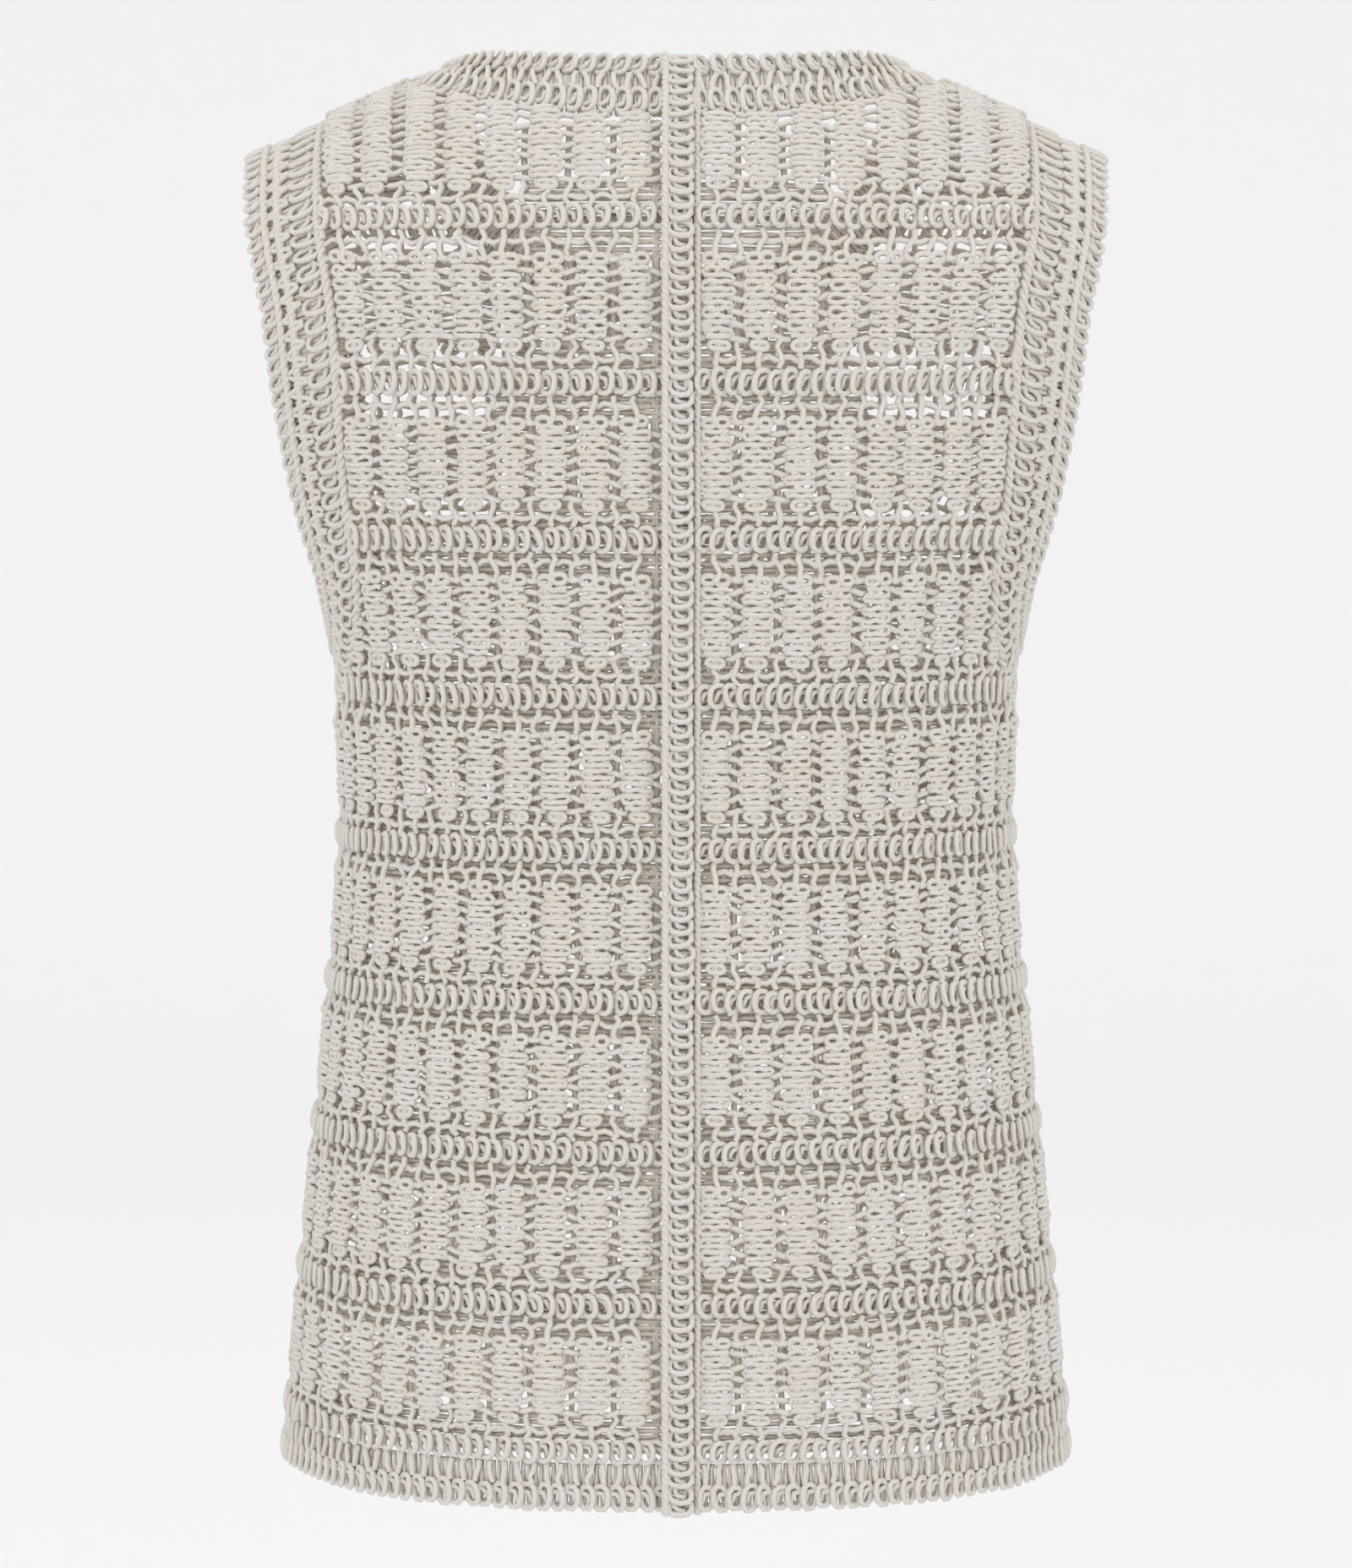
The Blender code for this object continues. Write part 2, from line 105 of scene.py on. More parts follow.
@dataclass
class Form:
    """The hollow form of the worn top, and the chart that stitches are laid out on.

    A place on the chart is a length along the section from the centre line, positive to the
    right, and a rise: the height below rise_start, and the length up the cloth above it,
    which runs on over the shoulder seam to the other face.
    """

    columns: int = 12
    arm_column: int = 8
    centre_strip: float = 0.0105
    power: float = 2.4
    neck_half: float = 0.0975
    neck_rise: float = 0.008
    neck_back: float = -0.001
    neck_front: float = -0.088
    neck_width: float = 0.025
    shoulder_height: float = 0.003
    shoulder_slope: float = 0.425
    shoulder_round: float = 0.110
    arm_bottom: float = -0.291
    arm_straight: float = -0.225
    arm_band: float = 0.042
    arm_band_under: float = 0.0385
    hem_top: float = -0.6092
    hem_bottom: float = -0.6296
    flute_column: float = 9.3
    flute_width: float = 1.3
    flute_depth: float = 0.0055
    flute_top: float = -0.36
    rise_start: float = -0.16
    even_columns: float = 6.0
    step: float = 0.002
    length_limit: float = 0.30
    rise_low: float = -0.66
    rise_high: float = 0.20
    section_rows: int = 360
    quarter_points: int = 65

    def __post_init__(self) -> None:
        """Works out the chart's table of points and normals for each face."""
        heights = [s.height for s in SECTIONS]
        self.grid_heights = np.linspace(heights[-1] - 0.02, heights[0], self.section_rows)
        self.rows = {
            name: self._smooth([getattr(s, name) for s in SECTIONS], heights, self.grid_heights)
            for name in ("half_width", "back", "front", "pitch")
        }
        self.curves = {face: self._section_table(face) for face in Face}
        self.tables = {face: self._chart(face) for face in Face}

    @staticmethod
    def _smooth(values: list, heights: list, where: np.ndarray) -> np.ndarray:
        """A smooth curve through the values at the section heights.

        Args:
            values: one value for each section.
            heights: the sections' heights, falling.
            where: the heights to read, rising.

        Returns:
            The value at each height.
        """
        z = np.array(heights[::-1])
        v = np.array(values[::-1])
        slope = np.gradient(v, z)
        k = np.clip(np.searchsorted(z, where) - 1, 0, len(z) - 2)
        span = z[k + 1] - z[k]
        t = np.clip((where - z[k]) / span, 0.0, 1.0)
        start = v[k] * (1 - t) ** 2 * (1 + 2 * t) + span * slope[k] * t * (1 - t) ** 2
        end = v[k + 1] * t * t * (3 - 2 * t) - span * slope[k + 1] * t * t * (1 - t)
        return start + end

    def row(self, name: str, height: np.ndarray) -> np.ndarray:
        """One of the sections' values at some heights."""
        return np.interp(height, self.grid_heights, self.rows[name])

    def _section_table(self, face: Face) -> tuple:
        """x and depth along each quarter section, at even lengths, and the side's length.

        Args:
            face: the side of the top.

        Returns:
            Tables of x and of depth by height and length, and the length at each height.
        """
        angle = np.linspace(0.0, math.pi / 2, self.quarter_points)
        across = np.sin(angle) ** (2 / self.power)
        share = np.cos(angle) ** (2 / self.power)
        share[-1] = 0.0
        lengths = np.arange(0.0, self.length_limit + self.step, self.step)
        xs, depths, sides = [], [], []
        for k in range(len(self.grid_heights)):
            x = self.rows["half_width"][k] * across
            y = self.rows[face.name.lower()][k] * share
            run = np.concatenate(([0.0], np.cumsum(np.hypot(np.diff(x), np.diff(y)))))
            xs.append(np.interp(lengths, run, x))
            depths.append(np.interp(lengths, run, y))
            sides.append(run[-1])
        return np.array(xs), np.array(depths), np.array(sides)

    def _read(self, table: np.ndarray, height: np.ndarray, length: np.ndarray) -> np.ndarray:
        """Reads a section table at heights and lengths, evenly between its entries.

        Args:
            table: the values by height and length.
            height: the heights.
            length: the lengths.

        Returns:
            The values.
        """
        low, high = self.grid_heights[0], self.grid_heights[-1]
        a = (height - low) / (high - low) * (len(self.grid_heights) - 1)
        b = length / self.step
        return sample(table, a, b)

    def side_length(self, height: np.ndarray, face: Face) -> np.ndarray:
        """Length of the quarter section at some heights."""
        return np.interp(height, self.grid_heights, self.curves[face][2])

    def shoulder(self, x: np.ndarray) -> np.ndarray:
        """Height of the shoulder seam at some x, carried over the neck as a low crown.

        Args:
            x: distances from the centre line, of either sign.

        Returns:
            The heights.
        """
        across = np.abs(x)
        crown = self.shoulder_slope * self.neck_half / 2
        over_neck = self.shoulder_height + crown * (1 - (across / self.neck_half) ** 2)
        beyond = self.shoulder_height - self.shoulder_slope * (across - self.neck_half)
        return np.where(across < self.neck_half, over_neck, beyond)

    def _flat_point(self, length: np.ndarray, height: np.ndarray, face: Face) -> tuple:
        """x and unturned depth of points on the sections, with the trough taken off.

        Args:
            length: lengths from the centre line.
            height: heights.
            face: the side of the top.

        Returns:
            Arrays of x and of depth.
        """
        x = self._read(self.curves[face][0], height, length)
        depth = self._read(self.curves[face][1], height, length)
        grow = np.clip((self.flute_top - height) / (self.flute_top - self.hem_bottom), 0, 1)
        middle = self.length_at(np.full_like(height, self.flute_column), height, face)
        off = (length - middle) / (self.flute_width * self.row("pitch", height))
        return x, depth - self.flute_depth * grow * np.exp(-off * off)

    def _chart(self, face: Face) -> tuple:
        """Points and outward normals on an even grid of length and rise.

        Args:
            face: the side of the top.

        Returns:
            Arrays of points and of normals, by length and rise.
        """
        other = Face.FRONT if face is Face.BACK else Face.BACK
        lengths = np.arange(0.0, self.length_limit + self.step / 2, self.step)
        rises = np.arange(self.rise_low, self.rise_high + self.step / 2, self.step)
        points = np.zeros((len(lengths), len(rises), 3))
        low = rises <= self.rise_start
        for i, length in enumerate(lengths):
            z = rises[low]
            side = self.side_length(z, face)
            near = length <= side
            own = np.full_like(z, length)
            x, depth = self._flat_point(np.minimum(own, side), z, face)
            back_run = np.clip(2 * side - own, 0.0, side)
            x_far, depth_far = self._flat_point(back_run, z, other)
            points[i, low, 0] = np.where(near, x, x_far)
            points[i, low, 1] = face.value * np.where(near, depth, -depth_far)
            points[i, low, 2] = z
            points[i, ~low] = self._over_shoulder(length, face, other, rises[~low])
        along = np.gradient(points, axis=0)
        up = np.gradient(points, axis=1)
        normals = -face.value * np.cross(along, up)
        normals /= np.linalg.norm(normals, axis=2, keepdims=True) + TINY
        return points, normals

    def _over_shoulder(
        self, length: float, face: Face, other: Face, rises: np.ndarray
    ) -> np.ndarray:
        """Points of one upright line above rise_start, over the shoulder and down the other face.

        Args:
            length: length along the section from the centre line.
            face: the face that the line starts on.
            other: the face that it ends on.
            rises: the rises to read.

        Returns:
            One point for each rise.
        """
        runs = []
        for side_face in (face, other):
            turn = np.linspace(math.pi / 2, 0.0, 61)
            drop = self.shoulder_round * (1 - np.cos(turn))
            z = np.full_like(drop, -0.03)
            own = np.full_like(drop, length)
            for _ in range(8):
                limit = self.side_length(z, side_face)
                x, depth = self._flat_point(np.minimum(own, limit), z, side_face)
                z = self.shoulder(x) - drop
            lead_z = np.linspace(self.rise_start, z[0], 25)[:-1]
            own_lead = np.full_like(lead_z, length)
            limit = self.side_length(lead_z, side_face)
            lead_x, lead_depth = self._flat_point(np.minimum(own_lead, limit), lead_z, side_face)
            line = np.column_stack((
                np.concatenate((lead_x, x)),
                side_face.value * np.concatenate((lead_depth, depth * np.sin(turn))),
                np.concatenate((lead_z, z)),
            ))
            runs.append(line)
        line = np.vstack((runs[0], runs[1][::-1][1:]))
        run = np.concatenate(([0.0], np.cumsum(np.linalg.norm(np.diff(line, axis=0), axis=1))))
        want = rises - self.rise_start
        return np.column_stack([np.interp(want, run, line[:, k]) for k in range(3)])

    def length_at(self, column: np.ndarray, height: np.ndarray, face: Face) -> np.ndarray:
        """Length along the section at which stitch columns lie.

        Args:
            column: columns counted outwards; below zero they squeeze into the centre strip.
            height: heights.
            face: the side of the top.

        Returns:
            The lengths from the centre line.
        """
        low = np.minimum(height, self.arm_bottom)
        full = self.side_length(low, face)
        spare = full - self.centre_strip - self.columns * self.row("pitch", low)
        outer = np.maximum(column - self.even_columns, 0.0) / (self.columns - self.even_columns)
        length = self.centre_strip + self.row("pitch", height) * column + spare * outer ** 2
        centre = self.centre_strip * (1 + column / CENTRE_COLUMN_HALF)
        return np.where(column < 0, centre, length)

    def place(self, length: np.ndarray, rise: np.ndarray, lift: np.ndarray, face: Face):
        """Points of the cloth.

        Args:
            length: signed lengths from the centre line.
            rise: rises on the chart.
            lift: distances outwards from the middle of the wall.
            face: the side of the top.

        Returns:
            An array of points.
        """
        points, normals = self.tables[face]
        a = np.abs(length) / self.step
        b = (rise - self.rise_low) / self.step
        at = sample(points, a, b)
        out = sample(normals, a, b)
        out /= np.linalg.norm(out, axis=1, keepdims=True) + TINY
        made = at + out * np.asarray(lift)[:, None]
        made[:, 0] *= np.where(length < 0, -1.0, 1.0)
        return made

    def ridge_rise(self, length: float, face: Face) -> float:
        """Rise of the shoulder seam at a length from the centre line.

        Args:
            length: the length.
            face: the side of the top.

        Returns:
            The rise.
        """
        points, _normals = self.tables[face]
        line = points[int(round(abs(length) / self.step))]
        return self.rise_low + self.step * float(np.argmax(line[:, 2]))

    def rise_at(self, length: float, height: float, face: Face) -> float:
        """Rise on the chart of a height, at a length from the centre line.

        Args:
            length: the length.
            height: the height.
            face: the side of the top.

        Returns:
            The rise.
        """
        if height <= self.rise_start:
            return height
        points, _normals = self.tables[face]
        line = points[int(round(abs(length) / self.step))]
        top = int(np.argmax(line[:, 2]))
        rises = self.rise_low + self.step * np.arange(len(line))
        return float(np.interp(height, line[: top + 1, 2], rises[: top + 1]))


def sample(table: np.ndarray, a: np.ndarray, b: np.ndarray) -> np.ndarray:
    """Reads a two-way table between its entries.

    Args:
        table: values by first and second index.
        a: places along the first index.
        b: places along the second index.

    Returns:
        The values, evenly blended.
    """
    a = np.clip(a, 0, table.shape[0] - 1.001)
    b = np.clip(b, 0, table.shape[1] - 1.001)
    i, j = a.astype(int), b.astype(int)
    u, v = a - i, b - j
    if table.ndim == 3:
        u, v = u[:, None], v[:, None]
    top = table[i, j] * (1 - v) + table[i, j + 1] * v
    bottom = table[i + 1, j] * (1 - v) + table[i + 1, j + 1] * v
    return top * (1 - u) + bottom * u


# ---------------------------------------------------------------- cord
@dataclass
class CordWork:
    """A gathering of cord paths that will be swept as one mesh."""

    rng: np.random.Generator
    points: list = field(default_factory=list)
    edges: list = field(default_factory=list)
    thickness: list = field(default_factory=list)
    tone: list = field(default_factory=list)
    count: int = 0

    def add(self, path: np.ndarray, closed: bool = False, thickness: float = 1.0) -> None:
        """Takes in one path.

        Args:
            path: its points, in metres.
            closed: whether it ends where it starts.
            thickness: share of the cord's full radius.
        """
        if len(path) < 2:
            return
        n = len(path)
        self.points.append(path)
        index = np.arange(self.count, self.count + n)
        pairs = np.column_stack((index[:-1], index[1:]))
        if closed:
            pairs = np.vstack((pairs, [[index[-1], index[0]]]))
        self.edges.append(pairs)
        self.thickness.append(np.full(n, thickness))
        self.tone.append(np.full(n, self.rng.random()))
        self.count += n


class CordSweep:
    """Sweeps a round cord along every path of a mesh of edges, with Geometry Nodes."""

    def __init__(self) -> None:
        """Builds the node tree."""
        self.tree = bpy.data.node_groups.new("swept_cord", "GeometryNodeTree")
        sockets = (
            ("Paths", "INPUT", "Geometry"),
            ("Cord Radius", "INPUT", "Float"),
            ("Sides", "INPUT", "Int"),
            ("Finish", "INPUT", "Material"),
            ("Cord", "OUTPUT", "Geometry"),
        )
        for name, way, kind in sockets:
            self.tree.interface.new_socket(name, in_out=way, socket_type=f"NodeSocket{kind}")
        given = self.tree.nodes.new("NodeGroupInput").outputs
        curve = self._node("MeshToCurve", {}, {"Mesh": given["Paths"]})
        thickness = self._node("InputNamedAttribute", {"data_type": "FLOAT"}, {"Name": "thickness"})
        sized = self._node("SetCurveRadius", {}, {"Curve": curve, "Radius": thickness})
        run = self._node("SplineParameter", {}, {}, "Length")
        measured = self._node(
            "StoreNamedAttribute",
            {"data_type": "FLOAT", "domain": "POINT"},
            {"Geometry": sized, "Name": "along", "Value": run},
        )
        circle = self._node(
            "CurvePrimitiveCircle",
            {"mode": "RADIUS"},
            {"Resolution": given["Sides"], "Radius": given["Cord Radius"]},
        )
        ringed = self._node(
            "StoreNamedAttribute",
            {"data_type": "FLOAT_VECTOR", "domain": "POINT"},
            {"Geometry": circle, "Name": "ring", "Value": self._node("InputPosition", {}, {})},
        )
        swept = self._node(
            "CurveToMesh", {}, {"Curve": measured, "Profile Curve": ringed, "Fill Caps": True}
        )
        smooth = self._node("SetShadeSmooth", {}, {"Geometry": swept})
        whole = self._node("RealizeInstances", {}, {"Geometry": smooth})
        dressed = self._node("SetMaterial", {}, {"Geometry": whole, "Material": given["Finish"]})
        self.tree.links.new(dressed, self.tree.nodes.new("NodeGroupOutput").inputs["Cord"])

    def _node(
        self, kind: str, settings: dict, inputs: dict, output: int | str = 0
    ) -> bpy.types.NodeSocket:
        """Adds a node.

        Args:
            kind: the node's type, after "GeometryNode".
            settings: its properties, set first.
            inputs: values or sockets for its inputs, by name.
            output: which of its outputs is wanted.

        Returns:
            That output's socket.
        """
        node = self.tree.nodes.new(f"GeometryNode{kind}")
        for name, value in settings.items():
            setattr(node, name, value)
        for name, value in inputs.items():
            if isinstance(value, bpy.types.NodeSocket):
                self.tree.links.new(value, node.inputs[name])
            else:
                node.inputs[name].default_value = value
        return node.outputs[output]

    def sweep(
        self, name: str, work: CordWork, sides: int, finish: bpy.types.Material
    ) -> bpy.types.Object:
        """Turns a gathering of paths into one mesh of cord.

        Args:
            name: the piece's name.
            work: the paths.
            sides: how many sides the cord has.
            finish: its material.

        Returns:
            The piece, at the origin.
        """
        paths = bpy.data.meshes.new(f"{name}_paths")
        points = np.vstack(work.points).astype(np.float32)
        edges = np.vstack(work.edges).astype(np.int32)
        paths.vertices.add(len(points))
        paths.vertices.foreach_set("co", points.ravel())
        paths.edges.add(len(edges))
        paths.edges.foreach_set("vertices", edges.ravel())
        for label, values in (("thickness", work.thickness), ("tone", work.tone)):
            layer = paths.attributes.new(label, "FLOAT", "POINT")
            layer.data.foreach_set("value", np.concatenate(values).astype(np.float32))
        carrier = bpy.data.objects.new(f"{name}_paths", paths)
        bpy.context.scene.collection.objects.link(carrier)
        modifier = carrier.modifiers.new("sweep", "NODES")
        modifier.node_group = self.tree
        values = {"Cord Radius": CORD_RADIUS, "Sides": sides, "Finish": finish}
        for item in self.tree.interface.items_tree:
            if item.item_type == "SOCKET" and item.in_out == "INPUT" and item.name in values:
                modifier[item.identifier] = values[item.name]
        graph = bpy.context.evaluated_depsgraph_get()
        mesh = bpy.data.meshes.new_from_object(carrier.evaluated_get(graph))
        mesh.name = name
        carrier.modifiers.remove(modifier)
        bpy.data.objects.remove(carrier, do_unlink=True)
        piece = bpy.data.objects.new(name, mesh)
        bpy.context.scene.collection.objects.link(piece)
        return piece


# ---------------------------------------------------------------- stitches of the panels
@dataclass(frozen=True)
class Detail:
    """How many points the cord's bends are drawn with."""

    fold: tuple = ((-1.0, 0.0), (-0.60, 0.45), (-0.05, -0.45), (0.55, 0.40), (1.0, 0.0))
    ring: int = 10
    coil: int = 11
    bar: int = 5


class Layer(Enum):
    """How deep in the wall a cord lies."""

    OUTER = 0
    # cords inside the wall, in the inner_cord finish, a painted shade tone
    INNER = 1
    # cords put behind the gaps and open rows as painted shade, in the browner shaded_cord finish
    SHADE = 2


FINE = Detail()
COARSE = Detail(
    fold=((-1.0, 0.0), (-0.4, 0.4), (0.4, -0.4), (1.0, 0.0)), ring=7, coil=8, bar=4
)


def oval(count: int, wide: float, tall: float, square: float = 0.85) -> tuple:
    """Places round an oval ring with slightly squared sides.

    Args:
        count: how many.
        wide: half width.
        tall: half height.
        square: 1 for a plain oval, less for squarer sides.

    Returns:
        Places across, places down, and cosines of the turn.
    """
    turn = np.arange(count) * 2 * math.pi / count
    cosine, sine = np.cos(turn), np.sin(turn)
    across = wide * np.sign(cosine) * np.abs(cosine) ** square
    return across, tall * np.sign(sine) * np.abs(sine) ** square, cosine


@dataclass
class StitchPattern:
    """The cell that repeats between two ridges: an open row, a puffed column, an open row.

    Places in a cell are given by `across`, metres from the column's middle, and `down`,
    metres below the upper ridge.
    """

    form: Form
    face: Face
    side: int
    work: CordWork
    inner: CordWork
    shade: CordWork
    detail: Detail
    ridges: tuple = (
        -0.0713, -0.1426, -0.2103, -0.2782, -0.3450, -0.4100, -0.4751, -0.5405, -0.6033
    )
    column_width: float = 0.0174
    cell: float = 0.0670
    puff_top: float = 0.0212
    puff_fingers: int = 5
    finger: float = 0.00546
    finger_gap: float = 0.00240
    puff_half: float = 0.0055
    puff_lift: float = 0.0018
    cap_down: float = 0.0176
    foot_down: float = 0.0524
    top_row_start: float = -0.034
    top_row_fingers: int = 15
    rings_per_column: int = 3
    coil_steps: int = 5
    ring_half_width: float = 0.0030
    ring_half_height: float = 0.0047
    upper_upright: tuple = (0.0056, 0.0178)
    lower_upright: tuple = (0.0500, 0.0618)
    bar_levels: tuple = (0.0102, 0.0580)
    edge_margin: float = 0.0006
    first_shift: float = 0.0024
    shift_columns: float = 3.0
    # which columns of each row get the painted-shade cords behind their gaps and open rows, and how
    # these cords are laid
    shaded_columns: tuple = (2.6, 2.6, 3.6, 6.6, 20.0)
    shade_starts: tuple = (0.0010, 0.0515)
    shade_passes: int = 6
    shade_pitch: float = 0.0031
    shade_lift: float = -0.0036
    shade_thickness: float = 2.35
    gap_thickness: float = 2.4
    fold_thickness: float = 1.04
    ring_thickness: float = 1.06
    settle: float = 0.0009
    shoulder_settle: float = 0.0042
    shoulder_reach: float = 0.030
    chart_top: float = 0.06
    least_kept: float = 0.55
    backed: bool = False

    def __post_init__(self) -> None:
        """Works out where the ridges and the panel's top lie along the width."""
        self.rng = self.work.rng
        self.lengths = np.arange(0.0, 0.27, 0.004)
        self.levels = []
        for height in self.ridges:
            self.levels.append([self.form.rise_at(s, height, self.face) for s in self.lengths])
        first = [rise + self.cell for rise in self.levels[0]]
        self.levels = np.array([first] + self.levels)
        self.limit = np.array([self._top(s) for s in self.lengths])
        self.ridge_line = np.array([self.form.ridge_rise(s, self.face) for s in self.lengths])

    def _top(self, length: float) -> float:
        """Rise of the panel's top edge at a length: the neck seam or the shoulder seam.

        Args:
            length: the length from the centre line.

        Returns:
            The rise.
        """
        ridge = self.form.ridge_rise(length, self.face)
        rise = ridge
        for _ in range(4):
            at = np.array([length]), np.array([rise]), np.zeros(1)
            point = self.form.place(*at, self.face)[0]
            seam = neck_seam_height(self.form, point[0], self.face)
            if seam is None:
                return ridge
            rise = min(self.form.rise_at(length, seam, self.face), ridge)
        return rise

    def locate(self, column: float, across: np.ndarray, row: int, down: np.ndarray) -> tuple:
        """Length and rise of places in a cell.

        Args:
            column: the column's middle.
            across: places across it.
            row: the cell's row; the ridge of that number lies below it.
            down: places down from the upper ridge.

        Returns:
            Lengths and rises on the chart.
        """
        share = np.asarray(down) / self.cell
        top = self.ridges[row - 1] if row > 0 else self.ridges[0] + self.cell
        height = top + (self.ridges[row] - top) * share
        where = column + np.asarray(across) / self.column_width
        length = self.form.length_at(where, np.minimum(height, -0.01), self.face)
        if self.face is Face.BACK:
            length = length - self.first_shift * np.clip(1 - where / self.shift_columns, 0, 1)
        upper = np.interp(np.abs(length), self.lengths, self.levels[row])
        lower = np.interp(np.abs(length), self.lengths, self.levels[row + 1])
        return length, upper + (lower - upper) * share

    def inside(self, length: np.ndarray, rise: np.ndarray) -> np.ndarray:
        """Whether places lie on the panel, clear of the neck, the armhole and the hem.

        Args:
            length: lengths from the centre line.
            rise: rises on the chart.

        Returns:
            True for each place that does.
        """
        form = self.form
        arm = form.length_at(np.full_like(rise, float(form.arm_column)), rise, self.face)
        share = np.clip((form.arm_straight - rise) / (form.arm_straight - form.arm_bottom), 0, 1)
        side = form.side_length(rise, self.face)
        turned = arm + (side - arm) * (1 - np.sqrt(1 - share * share))
        edge = np.where(rise > form.arm_bottom, turned, side)
        under = rise < np.interp(np.abs(length), self.lengths, self.limit) - self.edge_margin
        return (np.abs(length) < edge + self.edge_margin) & under

    def lay(
        self,
        column: float,
        across: list,
        row: int,
        down: list,
        lift: list,
        closed: bool = False,
        thickness: float = 1.0,
        layer: Layer = Layer.OUTER,
    ) -> None:
        """Lays one cord in a cell, cut off where it leaves the panel.

        Args:
            column: the column's middle.
            across: places across it.
            row: the cell's row.
            down: places down from the upper ridge.
            lift: distances outwards from the wall's middle.
            closed: whether the cord ends where it starts.
            thickness: share of the cord's full radius.
            layer: how deep in the wall it lies.
        """
        work = {Layer.OUTER: self.work, Layer.INNER: self.inner, Layer.SHADE: self.shade}[layer]
        length, rise = self.locate(column, np.array(across), row, np.array(down))
        keep = self.inside(length, rise)
        if not keep.any():
            return
        lift = np.array(lift) - self.settling(length, rise)
        points = self.form.place(length * self.side, rise, lift, self.face)
        if closed:
            if keep.mean() > self.least_kept:
                work.add(points, True, thickness)
            return
        start = None
        for k, good in enumerate(list(keep) + [False]):
            if good and start is None:
                start = k
            elif not good and start is not None:
                if k - start >= 2:
                    work.add(points[start:k], False, thickness)
                start = None

    def settling(self, length: np.ndarray, rise: np.ndarray) -> np.ndarray:
        """How much lower the stitches lie, most of all at the shoulder seam.

        Args:
            length: lengths from the centre line.
            rise: rises on the chart.

        Returns:
            Distances inwards.
        """
        drop = np.interp(np.abs(length), self.lengths, self.ridge_line) - rise
        near = np.clip(1 - drop / self.shoulder_reach, 0, 1)
        return self.settle + self.shoulder_settle * near * near

    def cut(self, step: float = 0.002) -> tuple:
        """The half panel's flat cut, measured on the chart, within the edgings.

        Args:
            step: how finely it is measured, in metres.

        Returns:
            Its greatest width and length, in metres, and its area, in square metres.
        """
        lengths = np.arange(step / 2, self.lengths[-1], step)
        rises = np.arange(self.form.hem_top + step / 2, self.chart_top, step)
        spread = np.array([self.inside(lengths, np.full(len(lengths), rise)) for rise in rises])
        rows, columns = np.flatnonzero(spread.any(axis=1)), np.flatnonzero(spread.any(axis=0))
        return len(columns) * step, len(rows) * step, float(spread.sum()) * step * step

    def jog(self, size: float, count: int) -> np.ndarray:
        """Small random shifts."""
        return self.rng.normal(0.0, size, count)

    def nudge(self, size: float) -> float:
        """One small random shift."""
        return float(self.jog(size, 1)[0])

    def puff_width(self, share: float) -> float:
        """Half width of the puff, from its top (0) to its foot (1)."""
        return self.puff_half * (0.90 + 0.14 * math.sin(math.pi * (0.12 + 0.80 * share)))

    def puff_lift_at(self, across: np.ndarray) -> np.ndarray:
        """How far the puff's surface stands out at places across it."""
        return self.puff_lift * (1 - (across / (self.puff_half * 1.25)) ** 2)

    def folds(self, column: float, row: int, fingers: int) -> None:
        """Cord folded to and fro into fingers, counted upwards from the puff's foot.

        Args:
            column: the column's middle.
            row: the cell's row.
            fingers: how many pairs of passes there are.
        """
        foot = self.puff_top + self.finger * self.puff_fingers
        low = self.puff_top + 0.5 * (self.finger - self.finger_gap)
        across, down, lift = [], [], []
        way = 1 if self.rng.random() < 0.5 else -1
        shares = np.array([place for place, _ in self.detail.fold])
        wave = np.array([bend for _, bend in self.detail.fold]) * 0.001
        count = len(shares)
        lean = self.nudge(0.0003)
        for k in range(2 * fingers + 1):
            middle = foot - self.finger * (k // 2) - (self.finger_gap if k % 2 else 0.0)
            share = min(max((middle - low) / (foot - low), 0.0), 1.0)
            half = self.puff_width(share) + self.nudge(0.00030) - 0.0004
            bend = wave * (1 if k % 2 else -1) * self.rng.uniform(0.3, 1.3)
            slide = np.concatenate(([0], self.jog(0.0003, count - 2), [0]))
            x = shares * half * way + lean + slide
            across += list(x)
            down += list(middle + bend + self.jog(0.00014, count))
            lift += list(self.puff_lift_at(x) + self.jog(0.00022, count))
            if k < 2 * fingers:
                step = self.finger - self.finger_gap if k % 2 else self.finger_gap
                across.append(float((half + 0.0009) * way + lean))
                down.append(middle - step / 2)
                lift.append(0.0003 + self.nudge(0.0003))
            way = -way
        self.lay(column, across, row, down, lift, thickness=self.fold_thickness)
        if self.backed:
            return
        for k in range(fingers):
            middle = foot - self.finger * (k + 0.5) - self.finger_gap / 2 + 0.0003
            x, y, _ = oval(5, 0.0010, 0.0006, 1.0)
            x = x + self.rng.choice((-1, 1)) * self.rng.uniform(0.0006, 0.0034)
            self.lay(column, x, row, middle + y, self.puff_lift_at(x), True, 0.62, Layer.INNER)

